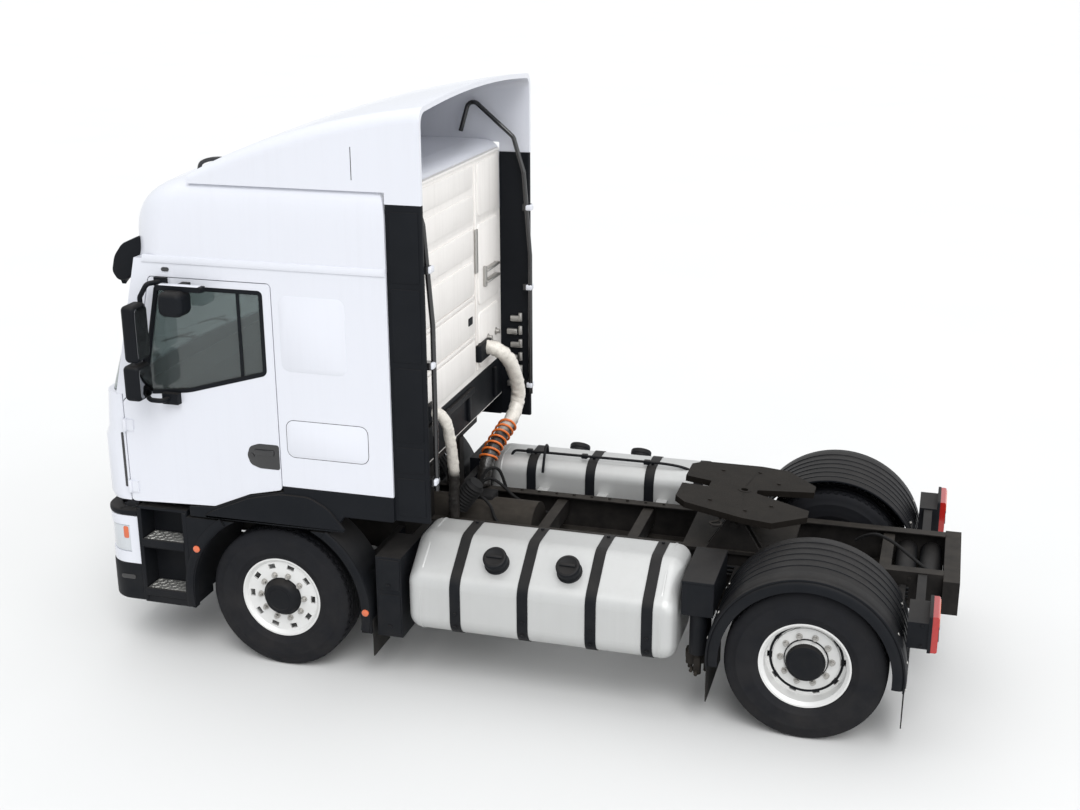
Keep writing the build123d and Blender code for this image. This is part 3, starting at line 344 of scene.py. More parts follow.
def lens_finish(name, colour):
    """A moulded lamp lens whose fine ribs are painted as darker bands: painted shade."""

    def painted_rib_shade(tree, base):
        # Painted shade: darker horizontal bands in the lens colour stand for the shading of the ribs
        wave = tree.nodes.new("ShaderNodeTexWave")
        wave.bands_direction = "Z"
        wave.inputs["Scale"].default_value = 38.0
        tree.links.new(coordinates(tree), wave.inputs["Vector"])
        shade = tuple(channel * 0.35 for channel in colour)
        return mix_colour(tree, ramp(tree, wave.outputs["Fac"], 0.0, 0.45), base, shade)

    return finish(name, colour, rough=(0.1, 0.2), dust=0.2, coat=0.6, bump=0.02, extra=painted_rib_shade)


FILM_END_Z = 1.36
FILM_END_BLEND = 14.0
HOSE_BLACK = (0.014, 0.013, 0.013)


def dark_below(tree, base):
    """Bare dark hose where the film ends, low on the lines."""
    height = upward_part(tree, coordinates(tree))
    bare = scaled(tree, height, -FILM_END_BLEND, FILM_END_BLEND * FILM_END_Z, clamp=True)
    return mix_colour(tree, bare, base, HOSE_BLACK)


# Values of each finish; a colour given by name comes from the settings
FINISHES = {
    "cab_paint": dict(
        colour="cab", rough=(0.24, 0.34), dust=0.07, dust_reach=1.8, streaks=0.03, wave=0.9, grain=900.0,
        grain_share=0.03, bump_distance=0.004, coat=0.45, vary=0.025,
    ),
    "rear_wall_paint": dict(
        colour=(0.83, 0.8, 0.77), rough=(0.4, 0.55), dust=0.14, dust_reach=4.0, streaks=0.1, wave=1.2, grain=500.0,
        bump_distance=0.004, vary=0.06,
    ),
    "black_plastic": dict(
        colour="plastic", dust=0.07, settled=0.075, wave=3.0, grain=650.0, grain_share=0.7, bump=0.12,
        bump_distance=0.0015, vary=0.25, gloss=0.1,
    ),
    "gloss_black": dict(
        colour=(0.012, 0.012, 0.013), rough=(0.12, 0.22), dust=0.05, dust_reach=1.6, coat=0.5, bump=0.02,
    ),
    "chassis_paint": dict(
        colour="chassis", rough=(0.42, 0.68), dust=0.14, dust_reach=1.5, blotch=9.0, settled=0.07, wave=9.0,
        grain=240.0, grain_share=0.6, bump=0.15, vary=0.35, gloss=0.1,
    ),
    "casting": dict(
        colour=(0.0105, 0.0092, 0.0082), rough=(0.5, 0.78), dust=0.18, dust_reach=1.4, blotch=11.0, settled=0.1,
        wave=20.0, grain=180.0, grain_share=1.0, bump=0.3, bump_distance=0.003, vary=0.3, gloss=0.12,
    ),
    "tank_alloy": dict(
        colour="alloy", rough=(0.32, 0.5), metallic=0.35, dust=0.14, blotch=3.5, settled=0.08, streaks=0.06, wave=2.2,
        grain=260.0, grain_share=0.25, bump=0.04, bump_distance=0.003, vary=0.07,
    ),
    "tread_alloy": dict(
        colour=(0.62, 0.62, 0.6), rough=(0.3, 0.5), metallic=0.85, dust=0.35, dust_reach=1.4, wave=12.0, grain=300.0,
        bump=0.08, vary=0.15,
    ),
    "rim_paint": dict(
        colour="rim", rough=(0.32, 0.48), metallic=0.15, dust=0.13, dust_reach=1.1, blotch=7.0, wave=4.0, grain=380.0,
        bump=0.04, vary=0.08,
    ),
    "bright_steel": dict(
        colour=(0.46, 0.45, 0.43), rough=(0.28, 0.48), metallic=0.9, dust=0.35, wave=30.0, grain=500.0, bump=0.06,
    ),
    "greasy_steel": dict(
        colour=(0.006, 0.005, 0.0042), rough=(0.4, 0.7), dust=0.04, dust_reach=2.4, settled=0.03, gloss=0.07,
        blotch=8.0, wave=7.0, grain=120.0, grain_share=0.6, bump=0.16, bump_distance=0.003, vary=0.4,
    ),
    "tyre_rubber": dict(
        colour=(0.0075, 0.0082, 0.0105), rough=(0.55, 0.75), dust=0.1, blotch=5.0, wave=14.0, grain=520.0,
        grain_share=0.6, bump=0.12, bump_distance=0.0015, vary=0.2, gloss=0.13,
    ),
    "flap_rubber": dict(
        colour=(0.012, 0.012, 0.0125), rough=(0.55, 0.75), dust=0.14, dust_reach=0.9, wave=8.0, grain=420.0, bump=0.1,
        vary=0.2, gloss=0.12,
    ),
    "mirror_glass": dict(
        colour=(0.16, 0.165, 0.175), rough=(0.03, 0.06), metallic=1.0, dust=0.1, dust_reach=4.0, bump=0.0,
    ),
    "hose_film": dict(
        colour=(0.58, 0.55, 0.5), rough=(0.18, 0.4), dust=0.2, dust_reach=3.0, wave=26.0, grain=120.0, grain_share=0.8,
        bump=0.5, bump_distance=0.006, coat=0.3, vary=0.3, extra=dark_below,
    ),
    "orange_coil": dict(colour=(0.72, 0.16, 0.02), rough=(0.25, 0.4), dust=0.2, dust_reach=3.0, bump=0.04),
    "seat_cloth": dict(
        colour=(0.06, 0.065, 0.08), rough=(0.8, 0.95), dust=0.1, dust_reach=3.0, wave=40.0, grain=700.0,
        grain_share=1.2, bump=0.3, vary=0.3,
    ),
    "dash_plastic": dict(
        colour=(0.05, 0.05, 0.052), rough=(0.5, 0.7), dust=0.25, dust_reach=4.0, wave=5.0, grain=800.0,
        grain_share=0.8, bump=0.15, vary=0.15,
    ),
    "pale_floor": dict(
        colour=(0.66, 0.66, 0.655), rough=(0.8, 0.95), dust=0.0, wave=0.4, grain=60.0, bump=0.02, vary=0.03,
    ),
}
GLASS_TINTS = {"window_glass": (0.34, 0.4, 0.4), "screen_glass": (0.3, 0.35, 0.35)}
LENS_COLOURS = {"red_lens": (0.42, 0.012, 0.01), "amber_lens": (0.7, 0.14, 0.045), "clear_lens": (0.62, 0.65, 0.68)}
MATERIALS = {}


def make_materials():
    """Make each finish once, from the tables and the colours in the settings."""
    for name, values in FINISHES.items():
        colour = values["colour"]
        if isinstance(colour, str):
            colour = tuple(getattr(paint_settings(), colour))
        MATERIALS[name] = finish(name, **{**values, "colour": colour})
    for name, tint in GLASS_TINTS.items():
        MATERIALS[name] = glass_finish(name, tint)
    for name, colour in LENS_COLOURS.items():
        MATERIALS[name] = lens_finish(name, colour)


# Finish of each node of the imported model
FINISH_NODES = {
    "chassis_paint": ("frame", "fifth_wheel_base", "cab_support", "cab_floor"),
    "casting": (
        "front_axle", "suspension", "rear_axle", "engine", "driveline", "knuckle_left", "knuckle_right",
    ),
    "tank_alloy": ("fuel_tanks",),
    "black_plastic": (
        "tank_fittings", "rear_mudguards", "side_equipment", "bumper", "step_wells", "sun_visor", "side_deflectors",
        "cab_arches", "mirrors_left", "mirrors_right",
    ),
    "flap_rubber": ("mud_flaps",),
    "red_lens": ("rear_lamps",),
    "cab_paint": (
        "lamp_panels", "side_walls", "cab_front", "cab_roof", "roof_deflector", "door_left", "door_right",
    ),
    "clear_lens": ("headlamps",),
    "bright_steel": ("tilt_pivot",),
    "hose_film": ("air_lines",),
    "rear_wall_paint": ("rear_wall",),
    "screen_glass": ("windscreen",),
    "gloss_black": ("deflector_stays",),
    "seat_cloth": ("cab_furniture",),
    "dash_plastic": ("dashboard",),
    "window_glass": ("door_glass_left", "door_glass_right"),
    "rim_paint": ("front_wheel_left", "front_wheel_right", "rear_wheel_left", "rear_wheel_right"),
    "tyre_rubber": ("front_tyre_left", "front_tyre_right", "rear_tyres_left", "rear_tyres_right"),
    "greasy_steel": ("fifth_wheel_plate",),
}

# Width in metres of the rounded edge on nodes that stay
EDGE_NODES = {
    0.003: ("frame",),
    0.004: ("fifth_wheel_base", "rear_mudguards", "suspension"),
    0.006: ("rear_wall", "cab_support"),
    0.008: ("front_axle", "sun_visor"),
    0.01: ("side_walls", "roof_deflector", "side_deflectors", "fifth_wheel_plate", "headlamps", "engine"),
    0.012: ("door_left", "door_right", "cab_front", "step_wells", "cab_arches"),
    0.014: ("side_equipment",),
    0.015: ("bumper",),
    0.03: ("dashboard",),
}


# Places


def ahead(distance):
    """Row x of a point this far ahead of the front axle."""
    return FRONT_X + distance


def spot(distance, y, z):
    """A point given by its distance ahead of the front axle."""
    return Vector((ahead(distance), y, z))


def route(points):
    """Points of a line, each given by its distance ahead of the front axle, y and z."""
    return [spot(*point) for point in points]


def rectangle(left, right, low, high):
    """Outline of a rectangle."""
    return ((left, low), (right, low), (right, high), (left, high))


def mirrored(points, sign):
    """Profile or outline points with the first value on the left (1) or the right (-1)."""
    return [(sign * first, second) for first, second in points]


def side_place(y, sign):
    """Plate placing on a side face: u ahead of the front axle, v up, thickness outwards."""
    return Matrix(((1, 0, 0, FRONT_X), (0, 0, sign, sign * y), (0, 1, 0, 0), (0, 0, 0, 1)))


def back_place(distance):
    """Plate placing on a rear face: u to the left, v up, thickness to the rear."""
    return Matrix(((0, 0, -1, ahead(distance)), (1, 0, 0, 0), (0, 1, 0, 0), (0, 0, 0, 1)))


def front_place(distance):
    """Plate placing on a front face: u to the left, v up, thickness forwards."""
    return Matrix(((0, 0, 1, ahead(distance)), (1, 0, 0, 0), (0, 1, 0, 0), (0, 0, 0, 1)))


# Mesh helpers


def smooth_object(name, bm, finish_name):
    """Turn a bmesh into a smooth object with a finish."""
    mesh = bpy.data.meshes.new(name)
    bm.to_mesh(mesh)
    bm.free()
    mesh.shade_smooth()
    mesh.materials.append(MATERIALS[finish_name])
    made = bpy.data.objects.new(name, mesh)
    bpy.context.scene.collection.objects.link(made)
    return made


def new_piece(name, bm, body, finish_name, replaces=(), sharp=SHARP_ANGLE):
    """Turn a bmesh into a piece that rides on a body."""
    piece = smooth_object(name, bm, finish_name)
    piece.data.set_sharp_from_angle(angle=math.radians(sharp))
    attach(piece, body)
    if replaces:
        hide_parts(*replaces)
    return piece


def add_bmesh(target, bm):
    """Add one bmesh to another and free it."""
    mesh = bpy.data.meshes.new("added")
    bm.to_mesh(mesh)
    bm.free()
    target.from_mesh(mesh)
    bpy.data.meshes.remove(mesh)


def bevelled(bm, geom, offset, segments, affect="EDGES"):
    """Bevel edges or corners with a round profile; returns what the operator returns."""
    return bmesh.ops.bevel(
        bm, geom=geom, offset=offset, offset_type="OFFSET", segments=segments, profile=0.5, affect=affect, material=-1
    )


def after_bevel(verts, done):
    """The vertices that a bevel left of a set, and those that it made."""
    return {vert for vert in verts if vert.is_valid} | {vert for face in done["faces"] for vert in face.verts}


def put(bm, verts, turn, centre):
    """Turn vertices about the origin and move them to a centre."""
    verts = list(verts)
    if turn is not None:
        bmesh.ops.rotate(bm, verts=verts, cent=(0, 0, 0), matrix=turn)
    bmesh.ops.translate(bm, verts=verts, vec=centre)


def box_part(bm, centre, size, bevel=0.0, segments=2, turn=None):
    """Add a box with rounded edges, turned about its centre if asked."""
    made = bmesh.ops.create_cube(bm, size=1.0)["verts"]
    bmesh.ops.scale(bm, verts=made, vec=size)
    if bevel:
        edges = list({edge for vert in made for edge in vert.link_edges})
        made = after_bevel(made, bevelled(bm, edges, bevel, segments))
    put(bm, made, turn, centre)


def bar_part(bm, start, end, radius, segments=12, cap_bevel=0.0):
    """Add a round bar between two points."""
    start = Vector(start)
    end = Vector(end)
    along = end - start
    made = bmesh.ops.create_cone(
        bm, cap_ends=True, segments=segments, radius1=radius, radius2=radius, depth=along.length
    )["verts"]
    if cap_bevel:
        edges = {edge for vert in made for edge in vert.link_edges}
        rims = [edge for edge in edges if abs(edge.verts[0].co.z - edge.verts[1].co.z) < 1e-6]
        made = after_bevel(made, bevelled(bm, rims, cap_bevel, 2))
    turn = Vector((0, 0, 1)).rotation_difference(along.normalized()).to_matrix()
    put(bm, made, turn, (start + end) / 2)


def flat_face(bm, outline, radius, segments=5):
    """A flat face from a 2D outline with round corners."""
    verts = [bm.verts.new((u, v, 0.0)) for u, v in outline]
    face = bm.faces.new(verts)
    if radius:
        rounded = set(bevelled(bm, verts, radius, segments, "VERTICES")["verts"])
        face = max((f for f in bm.faces if set(f.verts) & rounded), key=lambda f: f.calc_area())
    return face


def thicken(bm, faces, place, thickness, edge):
    """Give flat faces a thickness along z, round the raised edges and put them in place by a matrix."""
    below = {vert for face in faces for vert in face.verts}
    made = bmesh.ops.extrude_face_region(bm, geom=faces)["geom"]
    top = [item for item in made if isinstance(item, bmesh.types.BMVert)]
    bmesh.ops.translate(bm, verts=top, vec=(0, 0, thickness))
    verts = below | set(top)
    if edge:
        rim = [item for item in made if isinstance(item, bmesh.types.BMEdge) and item.calc_face_angle(0.0) > 0.5]
        verts = after_bevel(verts, bevelled(bm, rim, edge, 2))
    bmesh.ops.transform(bm, matrix=place, verts=list(verts))
    bmesh.ops.recalc_face_normals(bm, faces=list({face for vert in verts for face in vert.link_faces}))


def plate_part(bm, outline, place, thickness, radius=0.0, edge=0.0, segments=5):
    """Add a flat plate: a 2D outline with round corners, placed by a matrix, thick along its z."""
    thicken(bm, [flat_face(bm, outline, radius, segments)], place, thickness, edge)


def side_plate(bm, outline, y, sign, *sizes):
    """Add a plate on a side face, with the thickness, radius and edge of plate_part."""
    plate_part(bm, outline, side_place(y, sign), *sizes)


def ring_part(bm, outline, width, place, thickness, radius, edge):
    """Add a flat frame of this width along the inside of an outline."""
    face = flat_face(bm, outline, radius)
    ring = bmesh.ops.inset_region(bm, faces=[face], thickness=width, use_boundary=True, use_even_offset=True)["faces"]
    bmesh.ops.delete(bm, geom=[face], context="FACES_ONLY")
    thicken(bm, ring, place, thickness, edge)


def spun(bm, profile, origin, axis, steps, out=None):
    """Spin a profile of (along, out) points round an axis through origin."""
    origin = Vector(origin)
    axis = Vector(axis).normalized()
    out = axis.orthogonal().normalized() if out is None else Vector(out)
    verts = [bm.verts.new(origin + axis * along + out * far) for along, far in profile]
    edges = [bm.edges.new(pair) for pair in zip(verts, verts[1:])]
    bmesh.ops.spin(
        bm, geom=verts + edges, cent=origin, axis=axis, dvec=(0, 0, 0), angle=math.tau, steps=steps, use_merge=True
    )
    bmesh.ops.remove_doubles(bm, verts=bm.verts, dist=MERGE)
    bmesh.ops.recalc_face_normals(bm, faces=bm.faces)


def wheel_spun(bm, profile, centre, steps):
    """Spin a profile of (across, out) points round a wheel's axle, from straight up."""
    spun(bm, profile, centre, (0, 1, 0), steps, (0, 0, 1))


def arc_rib(bm, centre, section, start, sweep, steps):
    """Sweep a closed section of (across, out) points round the Y axis, from an angle behind straight up."""
    turn = Matrix.Rotation(start, 3, "Y")
    verts = [bm.verts.new(Vector(centre) + turn @ Vector((0, across, out))) for across, out in section]
    face = bm.faces.new(verts)
    bmesh.ops.spin(
        bm, geom=[face, *face.edges, *verts], cent=centre, axis=(0, 1, 0), dvec=(0, 0, 0), angle=sweep, steps=steps
    )
    open_edges = [edge for edge in bm.edges if edge.is_boundary]
    if open_edges:
        bmesh.ops.holes_fill(bm, edges=open_edges)
    bmesh.ops.recalc_face_normals(bm, faces=bm.faces)


def curve_mesh(routes, radius, steps=6, sides=3):
    """Round pipes along routes of control points, as one bmesh; a radius of 0 gives the centre lines."""
    curve = bpy.data.curves.new("route", "CURVE")
    curve.dimensions = "3D"
    curve.bevel_depth = radius
    curve.bevel_resolution = sides
    curve.use_fill_caps = True
    curve.resolution_u = steps
    for points in routes:
        spline = curve.splines.new("NURBS")
        spline.points.add(len(points) - 1)
        for point, place in zip(spline.points, points):
            point.co = (*place, 1.0)
        spline.order_u = 3
        spline.use_endpoint_u = True
    holder = bpy.data.objects.new("route", curve)
    bpy.context.scene.collection.objects.link(holder)
    bpy.context.view_layer.update()
    mesh = bpy.data.meshes.new_from_object(holder.evaluated_get(bpy.context.evaluated_depsgraph_get()))
    bm = bmesh.new()
    bm.from_mesh(mesh)
    bpy.data.objects.remove(holder)
    bpy.data.curves.remove(curve)
    bpy.data.meshes.remove(mesh)
    if radius:
        bmesh.ops.remove_doubles(bm, verts=bm.verts, dist=MERGE / 2)
        bmesh.ops.recalc_face_normals(bm, faces=bm.faces)
    return bm


def centre_line(points, steps):
    """Points along the middle of a route's curve."""
    bm = curve_mesh([points], 0.0, steps)
    line = [vert.co.copy() for vert in bm.verts]
    bm.free()
    return line


def crumple(bm, depth):
    """Fold the film on a tube: its surface moves in and out by up to depth."""
    for vert in bm.verts:
        fold = noise.noise(vert.co * 38.0) + 0.6 * noise.noise(vert.co * 90.0)
        vert.co += vert.normal * fold * depth


def hex_bolt(bm, place, axis, radius, height):
    """A bolt head on its washer."""
    axis = Vector(axis)
    place = Vector(place)
    bar_part(bm, place, place + axis * height * 0.2, radius * 1.35, 12)
    bar_part(bm, place + axis * height * 0.15, place + axis * height, radius, 6, height * 0.12)


class TRACTOR_OT_finishes(bpy.types.Operator):
    """Give each node of the model its finish and rounded edges"""

    bl_idname = "tractor.finishes"
    bl_label = "Node finishes"

    def execute(self, context):
        make_materials()
        finish_of = {node: name for name, nodes in FINISH_NODES.items() for node in nodes}
        edge_of = {node: width for width, nodes in EDGE_NODES.items() for node in nodes}
        for name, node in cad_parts.items():
            node.data.materials.clear()
            node.data.materials.append(MATERIALS[finish_of[name]])
            if name in edge_of:
                weld = node.modifiers.new("Weld", "WELD")
                weld.merge_threshold = WELD
                bevel = node.modifiers.new("Rounded edges", "BEVEL")
                bevel.width = edge_of[name]
                bevel.segments = 3
                bevel.limit_method = "ANGLE"
                bevel.angle_limit = ROUNDED_FROM
                bevel.harden_normals = True
        return {"FINISHED"}


# Wheels and tyres


def tread_tyre(bm, centre, half, settings):
    """A tyre with four grooves, shoulder slots and raised rings on its sidewalls."""
    groove = settings.groove_depth
    top = TYRE_RADIUS
    flank = [
        (half - inside, out) for inside, out in (
            (0.036, BEAD_RADIUS), (0.035, BEAD_RADIUS + 0.0165), (0.023, BEAD_RADIUS + 0.018),
            (0.0125, BEAD_RADIUS + 0.034), (0.007, 0.343), (0.0045, 0.345), (0.003, 0.352), (0.0035, 0.356),
            (0.0005, 0.378), (0.0, 0.404), (0.0015, 0.438), (0.0008, 0.441), (0.0022, 0.447), (0.0045, 0.450),
            (0.0095, 0.480), (0.016, 0.503), (0.0245, 0.5185), (0.034, top - 0.0052),
        )
    ]
    tread = [
        (0.0855, top - 0.0028), (0.084, top - 0.0028 - groove), (0.0755, top - 0.0026 - groove), (0.074, top - 0.0022),
        (0.037, top - 0.0006), (0.0355, top - 0.0006 - groove), (0.0265, top - 0.0004 - groove), (0.025, top - 0.0003),
    ]
    outside = flank + tread
    profile = outside + mirrored(reversed(outside), -1) + outside[:1]
    steps = 2 * settings.pitches
    wheel_spun(bm, profile, centre, steps)
    shoulder = []
    for face in bm.faces:
        place = face.calc_center_median() - Vector(centre)
        out = math.hypot(place.x, place.z)
        turn = math.atan2(place.x, place.z) % math.tau
        if 0.09 < abs(place.y) < half - 0.02 and out > 0.52 and int(turn / math.tau * steps) % 2:
            shoulder.append(face)
    bmesh.ops.inset_individual(bm, faces=shoulder, thickness=0.006, depth=-groove * 0.6)


class TRACTOR_OT_tyres(bpy.types.Operator):
    """Model the tyres with grooves, shoulder slots and sidewall rings"""

    bl_idname = "tractor.tyres"
    bl_label = "Tyres"

    def execute(self, context):
        settings = context.scene.tractor_tyre
        for side, sign in SIDES:
            bm = bmesh.new()
            tread_tyre(bm, (FRONT_X, sign * FRONT_WHEEL_Y, WHEEL_Z), FRONT_TYRE_HALF, settings)
            new_piece(
                f"tread_front_{side}", bm, f"front_wheel_{side}", "tyre_rubber", [f"front_tyre_{side}"],
                TYRE_SHARP_ANGLE,
            )
            pair = bmesh.new()
            for y in (REAR_OUTER_Y, REAR_INNER_Y):
                bm = bmesh.new()
                tread_tyre(bm, (REAR_X, sign * y, WHEEL_Z), REAR_TYRE_HALF, settings)
                add_bmesh(pair, bm)
            new_piece(
                f"tread_rear_{side}", pair, f"rear_wheel_{side}", "tyre_rubber", [f"rear_tyres_{side}"],
                TYRE_SHARP_ANGLE,
            )
        return {"FINISHED"}


NUT_COUNT = 10

# Profiles of the hubs' turned parts: across from the wheel's middle, out from the axle
FRONT_CAP = (
    (0.098, 0.1445), (0.107, 0.1435), (0.109, 0.1375), (0.127, 0.1285), (0.151, 0.1135), (0.158, 0.104),
    (0.1595, 0.085), (0.1565, 0.081), (0.158, 0.03), (0.1585, 0.0),
)
REAR_CAP = (
    (0.016, 0.147), (0.027, 0.145), (0.034, 0.134), (0.086, 0.1275), (0.099, 0.118), (0.104, 0.1), (0.1015, 0.094),
    (0.103, 0.0),
)
REAR_RING = ((0.010, 0.2225), (0.0245, 0.2195), (0.027, 0.2145), (0.0275, 0.15), (0.020, 0.146))
DARK_RING = ((0.010, 0.2435), (0.0145, 0.2425), (0.0145, 0.2265), (0.010, 0.2255))


def wheel_nuts(bm, centre, face_y, sign):
    """Wheel nuts with their washers and stud ends, on the bolt circle."""
    out = Vector((0, sign, 0))
    for index in range(NUT_COUNT):
        angle = math.tau * (index + 0.5) / NUT_COUNT
        place = Vector(centre) + Vector((BOLT_CIRCLE * math.sin(angle), 0, BOLT_CIRCLE * math.cos(angle)))
        place.y = face_y
        bar_part(bm, place - out * 0.004, place + out * 0.005, 0.0225, 16, 0.0015)
        bar_part(bm, place, place + out * 0.027, 0.0165, 6, 0.002)
        bar_part(bm, place, place + out * 0.036, 0.0095, 10, 0.0015)


class TRACTOR_OT_wheels(bpy.types.Operator):
    """Add hub caps, wheel nuts and the rear bolt rings"""

    bl_idname = "tractor.wheels"
    bl_label = "Hubs and nuts"

    def execute(self, context):
        front_parts = (("hub_cap", "black_plastic", ((FRONT_CAP, 48),)),)
        rear_parts = (
            ("hub_cap", "black_plastic", ((REAR_CAP, 48), (DARK_RING, 64))),
            ("bolt_ring", "rim_paint", ((REAR_RING, 64),)),
        )
        for side, sign in SIDES:
            for end, x, y, nut_face, parts in (
                ("front", FRONT_X, FRONT_WHEEL_Y, 0.103, front_parts),
                ("rear", REAR_X, REAR_OUTER_Y, 0.0275, rear_parts),
            ):
                centre = (x, sign * y, WHEEL_Z)
                for name, finish_name, profiles in parts:
                    bm = bmesh.new()
                    for profile, steps in profiles:
                        wheel_spun(bm, mirrored(profile, sign), centre, steps)
                    new_piece(f"{end}_{name}_{side}", bm, f"{end}_wheel_{side}", finish_name)
                bm = bmesh.new()
                wheel_nuts(bm, centre, sign * (y + nut_face), sign)
                new_piece(f"{end}_nuts_{side}", bm, f"{end}_wheel_{side}", "bright_steel")
        return {"FINISHED"}


# Cab

# Outlines on the cab's sides: ahead of the front axle, up
WINDOW_RUBBER = ((-0.037, 2.792), (0.762, 2.792), (0.918, 2.062), (0.868, 2.003), (0.556, 2.039), (-0.037, 2.208))
HANDLE_DISH = (
    (-0.091, 1.535), (0.06, 1.535), (0.128, 1.56), (0.152, 1.625), (0.128, 1.69), (0.06, 1.715), (-0.091, 1.715),
)
ROOF_MOULDING = ((-0.915, 2.938), (0.845, 2.938), (0.832, 2.992), (-0.915, 2.992))
ARCH_FLARE = (
    (0.535, 1.126), (0.45, 1.182), (0.15, 1.312), (-0.08, 1.364), (-0.30, 1.364), (-0.44, 1.29), (-0.575, 1.126),
)
VISOR_CHEEK = (
    (0.89, 3.10), (1.035, 3.035), (1.10, 2.95), (1.128, 2.84), (1.085, 2.775), (1.015, 2.785), (0.925, 2.89),
    (0.885, 3.01),
)
LOCK_PROFILE = ((0.0, 0.019), (0.006, 0.018), (0.007, 0.011), (0.0085, 0.01), (0.0085, 0.0))


class TRACTOR_OT_cab_sides(bpy.types.Operator):
    """Add window rubbers, handles, locker lids, mouldings and trim to the cab's sides"""

    bl_idname = "tractor.cab_sides"
    bl_label = "Cab sides"

    def execute(self, context):
        for side, sign in SIDES:
            bm = bmesh.new()
            ring_part(bm, WINDOW_RUBBER, 0.03, side_place(DOOR_Y - 0.011, sign), 0.0135, 0.035, 0.003)
            box_part(bm, spot(0.15, sign * 1.2315, 2.475), (0.024, 0.006, 0.6), 0.002)
            new_piece(f"window_rubber_{side}", bm, f"door_{side}", "black_plastic")
            bm = bmesh.new()
            side_plate(bm, HANDLE_DISH, DOOR_Y - 0.003, sign, 0.006, 0.018, 0.0025)
            box_part(bm, spot(0.02, sign * (DOOR_Y + 0.009), 1.655), (0.15, 0.016, 0.04), 0.007, 3)
            spun(bm, LOCK_PROFILE, spot(0.116, sign * (DOOR_Y + 0.002), 1.625), (0, sign, 0), 24)
            new_piece(f"door_handle_{side}", bm, f"door_{side}", "gloss_black")
            bm = bmesh.new()
            side_plate(bm, ROOF_MOULDING, DOOR_Y - 0.004, sign, 0.016, 0.0, 0.014)
            side_plate(bm, rectangle(-0.749, -0.157, 1.642, 1.905), DOOR_Y - 0.001, sign, 0.0042, 0.055, 0.003)
            side_plate(bm, rectangle(-0.62, -0.15, 2.25, 2.77), DOOR_Y - 0.001, sign, 0.0026, 0.06, 0.0015)
            new_piece(f"side_panels_{side}", bm, "cab", "cab_paint")
            bm = bmesh.new()
            side_plate(bm, rectangle(-0.7525, -0.1535, 1.6385, 1.9085), DOOR_Y - 0.001, sign, 0.0018, 0.058)
            side_plate(bm, rectangle(0.64, 0.696, 2.884, 2.912), DOOR_Y - 0.002, sign, 0.011, 0.0135, 0.004)
            side_plate(bm, rectangle(1.108, 1.128, 1.29, 1.70), DOOR_Y - 0.002, sign, 0.0045, 0.009, 0.0015)
            new_piece(f"side_trim_{side}", bm, "cab", "gloss_black")
        return {"FINISHED"}


# Pressed panels of the rear wall and the roof's back: left, right, low and high edges
WALL_PANELS = (
    (1.10, -0.50, 1.80, 2.06), (1.10, -0.50, 2.11, 2.37), (1.10, -0.50, 2.42, 2.68), (1.10, -0.50, 2.73, 2.93),
    (-0.60, -1.10, 1.80, 2.24), (-0.60, -1.10, 2.30, 2.93), (1.10, -0.50, 2.99, 3.18), (1.10, -0.50, 3.23, 3.40),
    (-0.60, -1.10, 2.99, 3.40),
)
WALL_SOCKET = ((0.0, 0.03), (0.02, 0.03), (0.022, 0.02), (0.05, 0.018), (0.05, 0.0))


